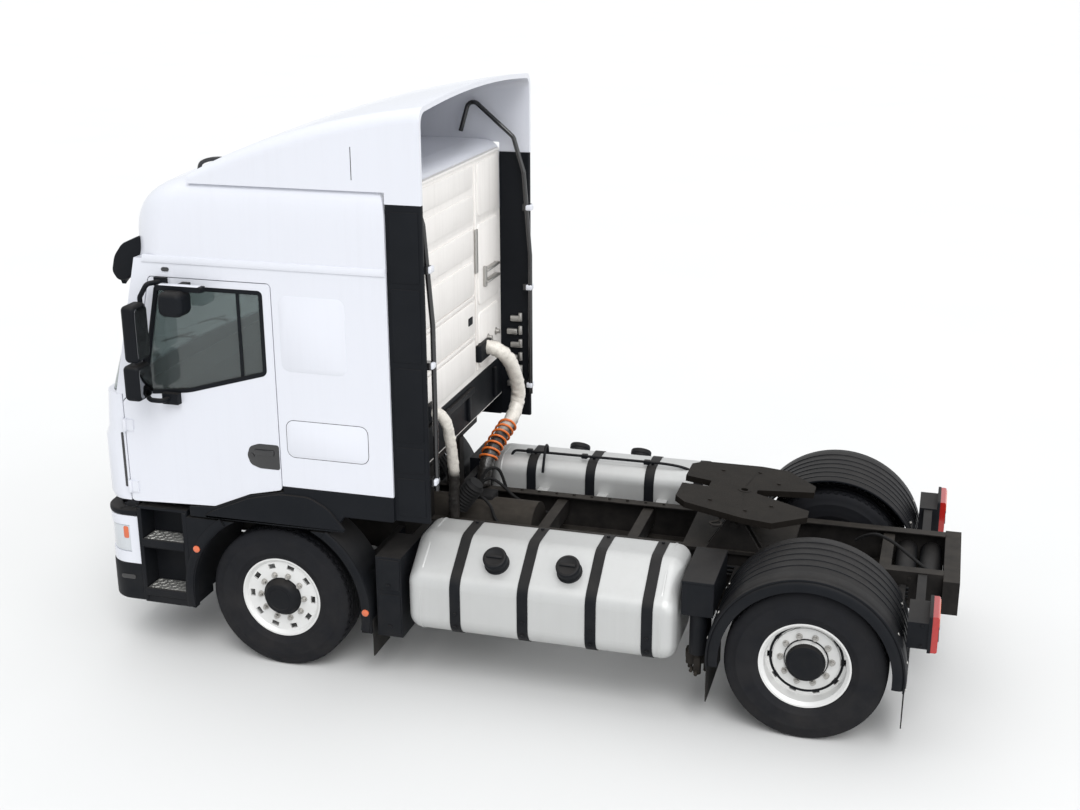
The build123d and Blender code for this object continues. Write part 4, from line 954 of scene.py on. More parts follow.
class TRACTOR_OT_rear_wall(bpy.types.Operator):
    """Press ribs into the cab's rear wall and add its seam, brackets, sockets and dark lower panel"""

    bl_idname = "tractor.rear_wall"
    bl_label = "Rear wall"

    def execute(self, context):
        def on_wall(bm, edges, proud, *sizes):
            plate_part(bm, rectangle(*edges), back_place(REAR_WALL - proud), *sizes)

        def box_on_wall(bm, proud, y, z, *sizes):
            box_part(bm, spot(REAR_WALL - proud, y, z), *sizes)

        bm = bmesh.new()
        for edges in WALL_PANELS:
            on_wall(bm, edges, -0.001, 0.014, 0.05, 0.011)
        on_wall(bm, (1.16, -1.16, 2.955, 3.425), -0.003, 0.007, 0.02, 0.003)
        box_on_wall(bm, -0.012, 0, 3.432, (0.05, 2.3, 0.024), 0.008, 3)
        box_on_wall(bm, 0.006, -0.55, 2.6, (0.014, 0.03, 1.6), 0.006)
        for z in (2.082, 2.395):
            box_on_wall(bm, 0.004, 0.30, z, (0.014, 1.62, 0.03), 0.006)
        new_piece("rear_wall_ribs", bm, "cab", "rear_wall_paint")
        bm = bmesh.new()
        on_wall(bm, (1.17, -1.17, 1.435, 1.752), -0.001, 0.007, 0.02, 0.003)
        for y in (0.72, 0.18, -0.30, -0.95):
            box_on_wall(bm, 0.018, y, 1.59, (0.03, 0.05, 0.25), 0.008)
        box_on_wall(bm, 0.02, 0.25, 1.69, (0.035, 1.3, 0.045), 0.008)
        new_piece("rear_wall_lower", bm, "cab", "black_plastic")
        bm = bmesh.new()
        for z in (2.47, 2.56):
            box_on_wall(bm, 0.03, -0.86, z, (0.05, 0.3, 0.022), 0.006)
        box_on_wall(bm, 0.022, -0.72, 2.51, (0.03, 0.04, 0.16), 0.006)
        box_on_wall(bm, 0.012, -0.55, 2.74, (0.016, 0.055, 0.34), 0.006)
        for index in range(6):
            rise = 0.11 * index
            box_part(bm, spot(-1.02 - 0.03 * (index % 2), -1.165, 1.52 + rise), (0.09, 0.03, 0.05), 0.01)
            bar_part(bm, spot(-1.09, -1.16, 1.50 + rise), spot(-1.09, -1.16, 1.57 + rise), 0.016, 12, 0.003)
        for y, z in ((-0.80, 2.0), (-0.90, 1.93), (-1.0, 2.0), (-0.96, 1.86)):
            spun(bm, WALL_SOCKET, spot(REAR_WALL + 0.002, y, z), (-1, 0, 0), 20)
        new_piece("rear_wall_brackets", bm, "cab", "bright_steel")
        bm = bmesh.new()
        on_wall(bm, (-0.33, -0.43, 2.205, 2.265), 0.012, 0.004, 0.012, 0.001)
        for y, z, width, height in ((-0.655, 1.935, 0.26, 0.14), (0.56, 1.82, 0.12, 0.12)):
            box_on_wall(bm, 0.022, y, z, (0.05, width, height), 0.014, 3)
        new_piece("line_sockets", bm, "cab", "black_plastic")
        return {"FINISHED"}


CLAMP_HEIGHTS = (1.53, 2.345, 2.985)
DEFLECTOR_PANELS = ((1.29, 1.56), (1.60, 1.78), (1.82, 2.33), (2.37, 2.86), (2.90, 3.36))
ROOF_BOW = ((0.46, 3.50), (0.47, 3.575), (0.40, 3.615), (0.27, 3.63), (0.22, 3.60))
ROOF_BOW_Y = 1.05


class TRACTOR_OT_deflectors(bpy.types.Operator):
    """Add panels, clamps, a seam and the small roof bow to the air deflectors"""

    bl_idname = "tractor.deflectors"
    bl_label = "Deflector fittings"

    def execute(self, context):
        for side, sign in SIDES:
            bm = bmesh.new()
            for z in CLAMP_HEIGHTS:
                box_part(bm, spot(-1.178, sign * 1.137, z), (0.05, 0.075, 0.045), 0.01, 3)
            new_piece(f"stay_clamps_{side}", bm, "cab", "cab_paint")
            bm = bmesh.new()
            for low, high in DEFLECTOR_PANELS:
                side_plate(bm, rectangle(-1.142, -0.942, low, high), 1.2185, sign, 0.006, 0.018, 0.004)
            new_piece(f"deflector_panels_{side}", bm, "cab", "black_plastic")
            bm = curve_mesh([route((a, sign * ROOF_BOW_Y, z) for a, z in ROOF_BOW)], 0.014)
            box_part(bm, spot(-0.70, sign * 1.2195, 3.655), (0.005, 0.004, 0.21), 0.001)
            new_piece(f"roof_bow_{side}", bm, "cab", "gloss_black")
        return {"FINISHED"}


MARKER_PROFILE = ((-0.002, 0.026), (0.006, 0.025), (0.011, 0.018), (0.013, 0.0))
MARKERS = ((0.594, 0.874), (-0.683, 0.543))


class TRACTOR_OT_cab_face(bpy.types.Operator):
    """Add the grille, wipers, blank plate, fog lamps and side markers"""

    bl_idname = "tractor.cab_face"
    bl_label = "Cab face"

    def execute(self, context):
        bm = bmesh.new()
        outline = ((0.82, 1.265), (-0.82, 1.265), (-0.86, 1.625), (0.86, 1.625))
        plate_part(bm, outline, front_place(NOSE - 0.002), 0.006, 0.05, 0.002)
        for index in range(4):
            place = spot(NOSE + 0.008, 0, 1.315 + 0.085 * index)
            box_part(bm, place, (0.022, 1.56 + 0.02 * index, 0.04), 0.009, 3)
        new_piece("grille", bm, "cab", "gloss_black")
        bm = bmesh.new()
        for y in (-0.52, 0.0, 0.52):
            box_part(bm, spot(NOSE + 0.006, y, 1.445), (0.012, 0.03, 0.33), 0.004)
        new_piece("grille_bars", bm, "cab", "black_plastic")
        bm = bmesh.new()
        for y in (0.35, -0.20, -0.75):
            pivot = spot(1.345, y, 2.0)
            bar_part(bm, pivot - Vector((0.03, 0, 0)), pivot + Vector((0.004, 0, 0)), 0.018, 16, 0.004)
            bar_part(bm, pivot, spot(1.322, y + 0.26, 2.075), 0.008, 8)
            bar_part(bm, spot(1.329, y + 0.02, 2.045), spot(1.315, y + 0.5, 2.10), 0.007, 8)
        new_piece("wipers", bm, "cab", "black_plastic")
        on_bumper = front_place(BUMPER - 0.002)
        bm = bmesh.new()
        plate_part(bm, ((0.5, 0.46), (-0.5, 0.46), (-0.55, 0.60), (0.55, 0.60)), on_bumper, 0.006, 0.03, 0.003)
        for index in range(3):
            box_part(bm, spot(BUMPER + 0.006, 0, 0.485 + 0.045 * index), (0.012, 1.0, 0.018), 0.004)
        for y in FOG_LAMPS_Y:
            ring_part(bm, rectangle(y + 0.1, y - 0.1, 0.46, 0.58), 0.014, on_bumper, 0.012, 0.03, 0.004)
        for _, sign in SIDES:
            side_plate(bm, rectangle(1.12, 1.235, 0.565, 0.60), 1.238, sign, 0.004, 0.015, 0.0015)
        new_piece("bumper_grille", bm, "chassis", "gloss_black")
        bm = bmesh.new()
        plate_part(bm, rectangle(0.26, -0.26, 0.66, 0.775), front_place(BUMPER - 0.001), 0.006, 0.01, 0.0015)
        new_piece("blank_plate", bm, "chassis", "cab_paint")
        bm = bmesh.new()
        for y in FOG_LAMPS_Y:
            plate_part(bm, rectangle(y + 0.085, y - 0.085, 0.475, 0.565), on_bumper, 0.007, 0.025, 0.003)
        new_piece("fog_lamps", bm, "chassis", "clear_lens")
        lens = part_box("headlamps")
        lens_back = lens[0].x - FRONT_X
        for side, sign in SIDES:
            bm = bmesh.new()
            outline = rectangle(lens_back + 0.012, lens_back + 0.052, 0.88, 0.972)
            side_plate(bm, outline, lens[1].y - 0.001, sign, 0.003, 0.012, 0.001)
            for distance, z in MARKERS:
                spun(bm, MARKER_PROFILE, spot(distance, sign * 1.2585, z), (0, sign, 0), 24)
            new_piece(f"markers_{side}", bm, "chassis", "amber_lens")
        return {"FINISHED"}


TREAD_PITCH = 0.039
TREAD_ROWS = 4
TREAD_COLUMNS = 8


class TRACTOR_OT_steps(bpy.types.Operator):
    """Lay chequered alloy treads on the cab steps and frame the step wells"""

    bl_idname = "tractor.steps"
    bl_label = "Step treads"

    def execute(self, context):
        for side, sign in SIDES:
            bm = bmesh.new()
            for height in STEP_HEIGHTS:
                box_part(bm, spot(0.87, sign * 1.156, height + 0.003), (0.318, 0.165, 0.008), 0.002)
                for row in range(TREAD_ROWS):
                    for column in range(TREAD_COLUMNS):
                        lean = math.radians(45 if (row + column) % 2 else -45)
                        place = spot(
                            0.734 + TREAD_PITCH * column, sign * (1.096 + TREAD_PITCH * row), height + 0.008
                        )
                        box_part(bm, place, (0.03, 0.008, 0.004), turn=Matrix.Rotation(lean, 3, "Z"))
            new_piece(f"step_treads_{side}", bm, "chassis", "tread_alloy")
            bm = bmesh.new()
            for height in STEP_HEIGHTS:
                box_part(bm, spot(0.87, sign * 1.2425, height - 0.02), (0.34, 0.018, 0.062), 0.008, 3)
            for distance in (0.684, 1.044):
                box_part(bm, spot(distance, sign * 1.2405, 0.77), (0.034, 0.016, 0.72), 0.007, 3)
            new_piece(f"step_edges_{side}", bm, "chassis", "black_plastic")
        return {"FINISHED"}


ARCH_SWEEP = math.radians(66)

# Rounded section of an arch's lip: out from the arch's face, then in from the inner or outer radius
LIP_EDGE = ((-0.01, 0.0), (0.008, 0.002), (0.016, 0.014))


class TRACTOR_OT_arches(bpy.types.Operator):
    """Raise the flares and lips round the front wheel arches and close the sun visor's ends"""

    bl_idname = "tractor.arches"
    bl_label = "Arch flares and visor ends"

    def execute(self, context):
        flare_y = ARCH_Y - 0.002
        for side, sign in SIDES:
            bm = bmesh.new()
            side_plate(bm, ARCH_FLARE, flare_y, sign, 0.02, 0.045, 0.017, 6)
            new_piece(f"arch_flare_{side}", bm, "cab", "black_plastic")
            for name, inner, outer, start in (("front", 0.651, 0.715, 34), ("rear", 0.651, 0.716, -101)):
                bm = bmesh.new()
                section = [(flare_y + proud, inner + inset) for proud, inset in LIP_EDGE]
                section += [(flare_y + proud, outer - inset) for proud, inset in reversed(LIP_EDGE)]
                arc_rib(bm, (FRONT_X, 0.0, WHEEL_Z), mirrored(section, sign), math.radians(start), ARCH_SWEEP, 28)
                new_piece(f"arch_lip_{name}_{side}", bm, "chassis", "black_plastic")
        bm = bmesh.new()
        for _, sign in SIDES:
            side_plate(bm, VISOR_CHEEK, 1.075, sign, 0.09, 0.026, 0.012)
        new_piece("visor_cheeks", bm, "cab", "black_plastic")
        return {"FINISHED"}


# Mirror glasses: back face ahead of the front axle, low and high edges
MIRROR_GLASSES = ((0.7775, 2.318, 2.668), (0.7805, 2.045, 2.255))


class TRACTOR_OT_mirrors(bpy.types.Operator):
    """Fit the mirror glasses and the kerb mirror's white arm cap"""

    bl_idname = "tractor.mirrors"
    bl_label = "Mirror glasses"

    def execute(self, context):
        for side, sign in SIDES:
            bm = bmesh.new()
            for back, low, high in MIRROR_GLASSES:
                outline = rectangle(sign * 1.49, sign * 1.34, low, high)
                plate_part(bm, outline, back_place(back + 0.001), 0.003, 0.03, 0.001)
            new_piece(f"mirror_glass_{side}", bm, f"door_{side}", "mirror_glass")
        bm = bmesh.new()
        box_part(bm, spot(0.50, 1.36, 2.822), (0.29, 0.052, 0.012), 0.005, 3)
        new_piece("kerb_arm_cap", bm, "door_left", "cab_paint")
        return {"FINISHED"}


# Chassis

TANK_SECTION = ((0.6, 0.44), (1.25, 0.44), (1.25, 0.85), (0.96, 1.08), (0.6, 1.08))
TANK_MIDDLE = (0.9, 0.6)
TANK_WELDS = (-1.083, -2.750)
WELD_RISE = 0.0035
TANK_STRAPS = (-1.341, -1.819, -2.290, -2.673)
TANK_CAPS = (-1.600, -2.110)
CAP_NORMAL = Vector((0, 0.62, 0.78)).normalized()
CAP_PROFILE = (
    (0.0, 0.088), (0.006, 0.087), (0.010, 0.079), (0.052, 0.0775), (0.055, 0.083), (0.082, 0.083), (0.09, 0.078),
    (0.093, 0.066), (0.0905, 0.062), (0.0905, 0.0),
)
TANK_PIPES = (
    ((-1.15, -0.70, 1.03), (-1.15, -0.70, 1.11), (-1.25, -0.70, 1.115), (-2.1, -0.71, 1.115), (-2.55, -0.72, 1.11),
     (-2.62, -0.72, 1.06)),
    ((-1.45, -0.70, 1.115), (-1.45, -0.70, 1.17), (-1.45, -0.66, 1.20), (-1.45, -0.60, 1.14), (-1.45, -0.55, 1.0)),
)


class TRACTOR_OT_tanks(bpy.types.Operator):
    """Add weld beads, strap bolts, filler caps and the tank pipe"""

    bl_idname = "tractor.tanks"
    bl_label = "Tank fittings"

    def execute(self, context):
        middle_y, middle_z = TANK_MIDDLE
        grown = [
            (y + math.copysign(WELD_RISE, y - middle_y), z + math.copysign(WELD_RISE, z - middle_z))
            for y, z in TANK_SECTION
        ]
        for side, sign in SIDES:
            bm = bmesh.new()
            for distance in TANK_WELDS:
                plate_part(bm, mirrored(grown, sign), back_place(distance), 0.012, 0.13, 0.003, 8)
            new_piece(f"tank_welds_{side}", bm, "chassis", "tank_alloy")
            bm = bmesh.new()
            axis = Vector((0, sign * CAP_NORMAL.y, CAP_NORMAL.z))
            turn = Vector((0, 0, 1)).rotation_difference(axis).to_matrix()
            for distance in TANK_CAPS:
                place = spot(distance, sign * 1.105, 0.965)
                spun(bm, CAP_PROFILE, place, axis, 36)
                box_part(bm, place + axis * 0.096, (0.11, 0.02, 0.016), 0.005, turn=turn)
            for distance in TANK_STRAPS:
                for y, z, out in ((1.252, 0.62, (0, sign, 0)), (1.252, 0.52, (0, sign, 0)), (0.74, 1.084, (0, 0, 1))):
                    hex_bolt(bm, spot(distance, sign * y, z), out, 0.012, 0.014)
            new_piece(f"tank_caps_{side}", bm, "chassis", "black_plastic")
        bm = curve_mesh([route(points) for points in TANK_PIPES], 0.011)
        for distance in (-1.3, -1.75, -2.25):
            box_part(bm, spot(distance, -0.705, 1.115), (0.05, 0.045, 0.035), 0.008)
        new_piece("tank_pipe", bm, "chassis", "black_plastic")
        return {"FINISHED"}


GUARD_RIBS_Y = (0.64, 0.735, 0.83, 0.925, 1.02)
FLAP_REACH = 0.6325

# Sections on the mudguards: across, then out from the guard's radius
GUARD_RIB = ((-0.012, -0.004), (-0.0072, 0.006), (0.0072, 0.006), (0.012, -0.004))
GUARD_LIP = (
    (1.115, -0.004), (1.12, 0.006), (1.18, 0.0065), (1.205, 0.004), (1.228, -0.004), (1.244, -0.017),
    (1.254, -0.035), (1.258, -0.055), (1.258, -0.084), (1.251, -0.084), (1.251, -0.055), (1.247, -0.038),
    (1.238, -0.023), (1.222, -0.011), (1.2, -0.004),
)


class TRACTOR_OT_mudguards(bpy.types.Operator):
    """Add ribs, rolled edges and bolts to the rear mudguards and bolts to their flaps"""

    bl_idname = "tractor.mudguards"
    bl_label = "Mudguards"

    def execute(self, context):
        centre = Vector((REAR_X, 0.0, WHEEL_Z))
        sections = [([(y + across, rise) for across, rise in GUARD_RIB], 56) for y in GUARD_RIBS_Y]
        sections.append((GUARD_LIP, 64))
        for side, sign in SIDES:
            joined = bmesh.new()
            for section, steps in sections:
                bm = bmesh.new()
                outline = [(sign * y, GUARD_RADIUS + rise) for y, rise in section]
                arc_rib(bm, centre, outline, GUARD_START, GUARD_SWEEP, steps)
                add_bmesh(joined, bm)
            new_piece(f"mudguard_ribs_{side}", joined, "chassis", "black_plastic")
            bm = bmesh.new()
            for angle in (-80, -62, 62, 80):
                out = Matrix.Rotation(math.radians(angle), 3, "Y") @ Vector((0, 0, 1))
                for y in (0.715, 1.165):
                    place = centre + Vector((0, sign * y, 0)) + out * (GUARD_RADIUS - 0.001)
                    hex_bolt(bm, place, out, 0.010, 0.012)
            for facing in (1, -1):
                for y in (0.70, 0.92, 1.14):
                    place = spot(-WHEELBASE + facing * FLAP_REACH, sign * y, 0.435)
                    hex_bolt(bm, place, (facing, 0, 0), 0.010, 0.012)
            new_piece(f"mudguard_bolts_{side}", bm, "chassis", "bright_steel")
        return {"FINISHED"}


class TRACTOR_OT_rear_lamps(bpy.types.Operator):
    """Frame the rear lamps and split their lenses"""

    bl_idname = "tractor.rear_lamps"
    bl_label = "Rear lamps"

    def execute(self, context):
        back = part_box("rear_lamps")[0].x - FRONT_X
        on_lens = back_place(back + 0.001)
        for side, sign in SIDES:
            bm = bmesh.new()
            outline = rectangle(sign * 1.158, sign * 0.822, 0.712, 0.978)
            ring_part(bm, outline, 0.014, back_place(back + 0.062), 0.022, 0.02, 0.004)
            for z in (0.805, 0.888):
                box_part(bm, spot(back - 0.001, sign * 0.99, z), (0.008, 0.31, 0.008), 0.002)
            for z in (0.76, 0.90):
                hex_bolt(bm, spot(back + 0.10, sign * 1.151, z), (0, sign, 0), 0.009, 0.01)
            new_piece(f"lamp_frame_{side}", bm, "chassis", "black_plastic")
            for name, inner, low, high, finish_name in (
                ("rear_indicator", 0.84, 0.895, 0.96, "amber_lens"),
                ("reversing_lamp", 1.0, 0.732, 0.798, "clear_lens"),
            ):
                bm = bmesh.new()
                plate_part(bm, rectangle(sign * 1.14, sign * inner, low, high), on_lens, 0.004, 0.012, 0.0015)
                new_piece(f"{name}_{side}", bm, "chassis", finish_name)
        return {"FINISHED"}


COUPLING_PIVOT = spot(-3.1, 0, 1.13)
COUPLING_LEAN = Matrix.Rotation(math.radians(-5), 3, "Y")
LOCK_RING = ((-0.004, 0.0265), (0.0015, 0.027), (0.002, 0.05), (-0.004, 0.052), (-0.004, 0.0265))
PLATE_BOLTS = ((0.20, 0.30), (0.20, -0.30), (-0.06, 0.38), (-0.06, -0.38), (-0.22, 0.22), (-0.22, -0.22))
RELEASE_HANDLE = (
    (0.10, 0.05, 0.045), (0.10, 0.30, 0.045), (0.10, 0.44, 0.045), (0.10, 0.50, 0.05), (0.16, 0.56, 0.055),
    (0.12, 0.60, 0.055), (0.06, 0.56, 0.055), (0.085, 0.51, 0.05),
)


def on_plate(along, y, rise):
    """A point on the coupling plate, which leans to the rear at rest."""
    return COUPLING_PIVOT + COUPLING_LEAN @ Vector((along, y, rise))


class TRACTOR_OT_coupling(bpy.types.Operator):
    """Add the lock ring, bolts, ribs under the plate and release handle of the coupling"""

    bl_idname = "tractor.coupling"
    bl_label = "Coupling"

    def execute(self, context):
        up = COUPLING_LEAN @ Vector((0, 0, 1))
        bm = bmesh.new()
        spun(bm, LOCK_RING, on_plate(0, 0, 0.115), up, 36)
        for along, y in PLATE_BOLTS:
            hex_bolt(bm, on_plate(along, y, 0.1145), up, 0.014, 0.006)
        new_piece("lock_ring", bm, "fifth_wheel", "greasy_steel")
        bm = bmesh.new()
        for y in (-0.16, 0.16):
            box_part(bm, on_plate(0.06, y, 0.064), (0.2, 0.014, 0.02), 0.004, turn=COUPLING_LEAN)
        box_part(bm, on_plate(-0.05, 0.0, 0.057), (0.2, 0.16, 0.028), 0.01, turn=COUPLING_LEAN)
        new_piece("plate_ribs", bm, "fifth_wheel", "greasy_steel")
        bm = curve_mesh([[on_plate(*point) for point in RELEASE_HANDLE]], 0.009)
        new_piece("release_handle", bm, "fifth_wheel", "chassis_paint")
        return {"FINISHED"}


# Lines along the rails: ahead of the front axle, then up or down from the line's height
RAIL_LINE = ((-0.95, 0.0), (-1.6, 0.008), (-2.4, -0.006), (-3.2, 0.004), (-4.2, 0.0), (-4.30, -0.01))
RAIL_LINE_HEIGHTS = (0.755, 0.785, 0.815)

# Valve gear behind the left tank: boxes with their sizes, then upright and cross bars with their radii
VALVE_BOXES = (
    ((-2.94, 1.05, 0.435), (0.06, 0.10, 0.09)), ((-3.03, 0.98, 0.42), (0.09, 0.07, 0.11)),
    ((-2.99, 1.10, 0.40), (0.05, 0.05, 0.12)), ((-2.92, 0.94, 0.40), (0.07, 0.06, 0.08)),
)
VALVE_BARS = (
    (-2.99, 1.095, 0.33, 0.50, 0.026), (-2.99, 0.935, 0.33, 0.50, 0.026), (-3.04, 1.02, 0.32, 0.44, 0.02),
    (-2.93, 1.02, 0.33, 0.45, 0.017),
)
VALVE_PORTS = ((-2.99, 1.145), (-2.95, 1.10), (-3.04, 1.06))
VALVE_PORT_Z = 0.355
SHIFT_FOLDS = 9
FOLD_PITCH = 0.026
HOSES = (
    ((-1.0, 0.12, 0.9), (-1.12, 0.14, 1.06), (-1.25, 0.16, 1.0), (-1.3, 0.2, 0.85), (-1.5, 0.25, 0.78)),
    ((-1.0, -0.12, 0.9), (-1.1, -0.15, 1.10), (-1.22, -0.2, 1.02), (-1.35, -0.24, 0.86), (-1.6, -0.27, 0.78)),
    ((-1.0, -0.2, 0.88), (-1.05, -0.26, 1.08), (-1.16, -0.3, 1.12), (-1.2, -0.33, 1.0), (-1.22, -0.345, 0.9)),
    ((-3.45, 0.16, 0.9), (-3.5, 0.2, 1.0), (-3.62, 0.24, 1.0), (-3.75, 0.28, 0.93), (-3.9, 0.30, 0.86)),
    ((-3.9, -0.2, 0.86), (-4.0, -0.1, 0.98), (-4.15, 0.05, 1.0), (-4.3, 0.18, 0.94), (-4.45, 0.25, 0.86)),
)


class TRACTOR_OT_chassis(bpy.types.Operator):
    """Bolt the rails and add pipes, valves, hoses, arch liners and box lids along the chassis"""

    bl_idname = "tractor.chassis"
    bl_label = "Chassis fittings"

    def execute(self, context):
        for side, sign in SIDES:
            bm = bmesh.new()
            for index in range(22):
                for z in (0.70, 0.87):
                    place = spot(0.95 - 0.25 * index, sign * (RAIL_Y - 0.001), z)
                    hex_bolt(bm, place, (0, sign, 0), 0.012, 0.012)
            for index in range(10):
                hex_bolt(bm, spot(-1.2 - 0.14 * index, sign * 0.35, 0.9195), (0, 0, 1), 0.011, 0.011)
            new_piece(f"rail_bolts_{side}", bm, "chassis", "chassis_paint")
            line_y = sign * (RAIL_Y + 0.016)
            bm = curve_mesh(
                [route((a, line_y, z + rise) for a, rise in RAIL_LINE) for z in RAIL_LINE_HEIGHTS], 0.009
            )
            for index in range(7):
                place = spot(-1.1 - 0.48 * index, sign * (RAIL_Y + 0.014), 0.785)
                box_part(bm, place, (0.03, 0.03, 0.09), 0.006)
            new_piece(f"rail_lines_{side}", bm, "chassis", "black_plastic")
            bm = bmesh.new()
            section = rectangle(sign * 0.52, sign * 1.19, 0.657, 0.662)
            arc_rib(bm, (FRONT_X, 0.0, WHEEL_Z), section, math.radians(30), ARCH_SWEEP, 24)
            new_piece(f"arch_liner_{side}", bm, "chassis", "black_plastic")
        bm = bmesh.new()
        for place, size in VALVE_BOXES:
            box_part(bm, spot(*place), size, 0.012)
        for distance, y, low, high, radius in VALVE_BARS:
            bar_part(bm, spot(distance, y, low), spot(distance, y, high), radius, 14, 0.005)
        for distance, y in VALVE_PORTS:
            ends = (spot(distance, y - 0.03, VALVE_PORT_Z), spot(distance, y + 0.02, VALVE_PORT_Z))
            bar_part(bm, *ends, 0.013, 12, 0.003)
        new_piece("valve_gear", bm, "chassis", "casting")
        bm = bmesh.new()
        folds = [(0.0, 0.0), (0.0, 0.06)]
        for index in range(SHIFT_FOLDS):
            folds += [(0.012 + FOLD_PITCH * index, 0.078), (0.025 + FOLD_PITCH * index, 0.062)]
        folds += [(0.25, 0.055), (0.25, 0.0)]
        spun(bm, folds, spot(-1.02, 0.23, 0.98), (-0.55, 0.0, 0.75), 28)
        new_piece("shift_cover", bm, "chassis", "flap_rubber")
        bm = curve_mesh([route(points) for points in HOSES], 0.012)
        box_part(bm, spot(-1.16, -0.05, 0.965), (0.12, 0.16, 0.07), 0.012)
        new_piece("chassis_hoses", bm, "chassis", "flap_rubber")
        bm = bmesh.new()
        for _, sign in SIDES:
            for low, high in ((0.392, 0.69), (0.72, 0.95)):
                side_plate(bm, rectangle(-0.935, -0.77, low, high), 1.2235, sign, 0.007, 0.018, 0.004)
            for z in (0.45, 0.76):
                box_part(bm, spot(-0.852, sign * 1.236, z), (0.03, 0.014, 0.016), 0.004)
        box_part(bm, spot(-2.9885, 0.9, 1.026), (0.217, 0.572, 0.02), 0.006, 3)
        new_piece("box_lids", bm, "chassis", "black_plastic")
        return {"FINISHED"}


# Soft pieces

CHANNEL_WIDTH = 0.06
SIDE_PULL = 0.035
CORNER_PULL = 0.06
CHANNEL_DEPTH = 0.45


def cushion(name, centre, size, crown, channels, turn=None):
    """A crowned cushion: its faces swell, its sides pull in between the corners, and sewn channels cross it."""
    bm = bmesh.new()
    bmesh.ops.create_cube(bm, size=1.0)
    bmesh.ops.subdivide_edges(bm, edges=bm.edges, cuts=11, use_grid_fill=True)
    for vert in bm.verts:
        x, y, z = vert.co * 2.0
        swell = (1.0 - x * x) * (1.0 - y * y)
        dip = sum(math.exp(-(((y - channel) / CHANNEL_WIDTH) ** 2)) for channel in channels) * (1.0 - x**8)
        pull = SIDE_PULL * (1.0 - z * z)
        corner = 1.0 - CORNER_PULL * (x * y) ** 6
        vert.co.x *= corner * (1.0 + pull * (1.0 - y * y))
        vert.co.y *= corner * (1.0 + pull * (1.0 - x * x))
        if z > 0:
            vert.co.z += z * (crown * swell - crown * CHANNEL_DEPTH * dip) / size[2]
    bmesh.ops.scale(bm, verts=bm.verts, vec=size)
    put(bm, bm.verts, turn, centre)
    piece = new_piece(name, bm, "cab", "seat_cloth", sharp=180.0)
    rounding = piece.modifiers.new("Rounding", "SUBSURF")
    rounding.levels = 2
    rounding.render_levels = 2


class TRACTOR_OT_interior(bpy.types.Operator):
    """Upholster the seats and the bunk"""

    bl_idname = "tractor.interior"
    bl_label = "Seats and bunk"

    def execute(self, context):
        upright = Matrix.Rotation(math.radians(80), 3, "Y")
        bm = bmesh.new()
        box_part(bm, spot(-0.52, 0, 1.66), (0.58, 2.34, 0.33), 0.02)
        for _, sign in SIDES:
            box_part(bm, spot(0.19, sign * SEAT_Y, 1.66), (0.34, 0.36, 0.30), 0.03)
            box_part(bm, spot(0.19, sign * SEAT_Y, 1.825), (0.46, 0.46, 0.04), 0.012)
            for offset in (-0.08, 0.08):
                y = sign * SEAT_Y + offset
                bar_part(bm, spot(-0.075, y, 2.58), spot(-0.09, y, 2.68), 0.008, 10)
        new_piece("seat_bases", bm, "cab", "dash_plastic", ["cab_furniture"])
        cushion("bunk_mattress", spot(-0.52, 0, 1.885), (0.57, 2.30, 0.11), 0.012, (-0.5, 0.0, 0.5))
        cushion("bunk_pillow", spot(-0.56, 0.9, 1.985), (0.4, 0.42, 0.07), 0.02, ())
        for side, sign in SIDES:
            y = sign * SEAT_Y
            cushion(f"seat_cushion_{side}", spot(0.19, y, 1.892), (0.48, 0.47, 0.10), 0.018, (-0.5, 0.5))
            cushion(f"seat_back_{side}", spot(-0.02, y, 2.26), (0.68, 0.47, 0.10), 0.02, (-0.55, 0.55), upright)
            cushion(f"head_rest_{side}", spot(-0.082, y, 2.70), (0.16, 0.27, 0.08), 0.012, (), upright)
        return {"FINISHED"}


# Routes of the air lines: behind the rear wall, y and z
BUNDLE = (
    (0.02, -0.70, 1.95), (0.12, -0.70, 1.95), (0.21, -0.76, 1.84), (0.23, -0.90, 1.60), (0.22, -0.93, 1.45),
    (0.20, -0.82, 1.33), (0.17, -0.62, 1.26), (0.13, -0.43, 1.16), (0.11, -0.35, 1.02), (0.11, -0.345, 0.93),
)
SLEEVE = (
    (0.02, 0.56, 1.82), (0.10, 0.56, 1.82), (0.15, 0.545, 1.72), (0.15, 0.47, 1.48), (0.13, 0.38, 1.26),
    (0.11, 0.35, 1.08), (0.11, 0.345, 0.93),
)
BUNDLE_RADIUS = 0.056
SLEEVE_RADIUS = 0.04
FILM_FOLDS = 0.14
LINE_STEPS = 16
LINE_FACETS = 6
COIL_TURNS = 7
COIL_STEPS = 12
COIL_RADIUS = 0.069
COIL_TUBE = 0.009
COIL_SMOOTHING = 4

# Share of the bundle's length at which the coil starts and ends
COIL_START = 0.6
COIL_END = 0.86


def hang(name, bm, finish_name, replaced=()):
    """Turn a tube into a piece fixed in place between the chassis and the cab."""
    piece = smooth_object(name, bm, finish_name)
    if replaced:
        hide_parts(*replaced)
    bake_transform(piece)


def wrapped_line(name, places, radius, replaced=()):
    """Hang a line in its crumpled film; returns the points of its middle."""
    points = route((REAR_WALL - behind, y, z) for behind, y, z in places)
    line = centre_line(points, LINE_STEPS)
    bm = curve_mesh([points], radius, LINE_STEPS, LINE_FACETS)
    crumple(bm, radius * FILM_FOLDS)
    hang(name, bm, "hose_film", replaced)
    return line


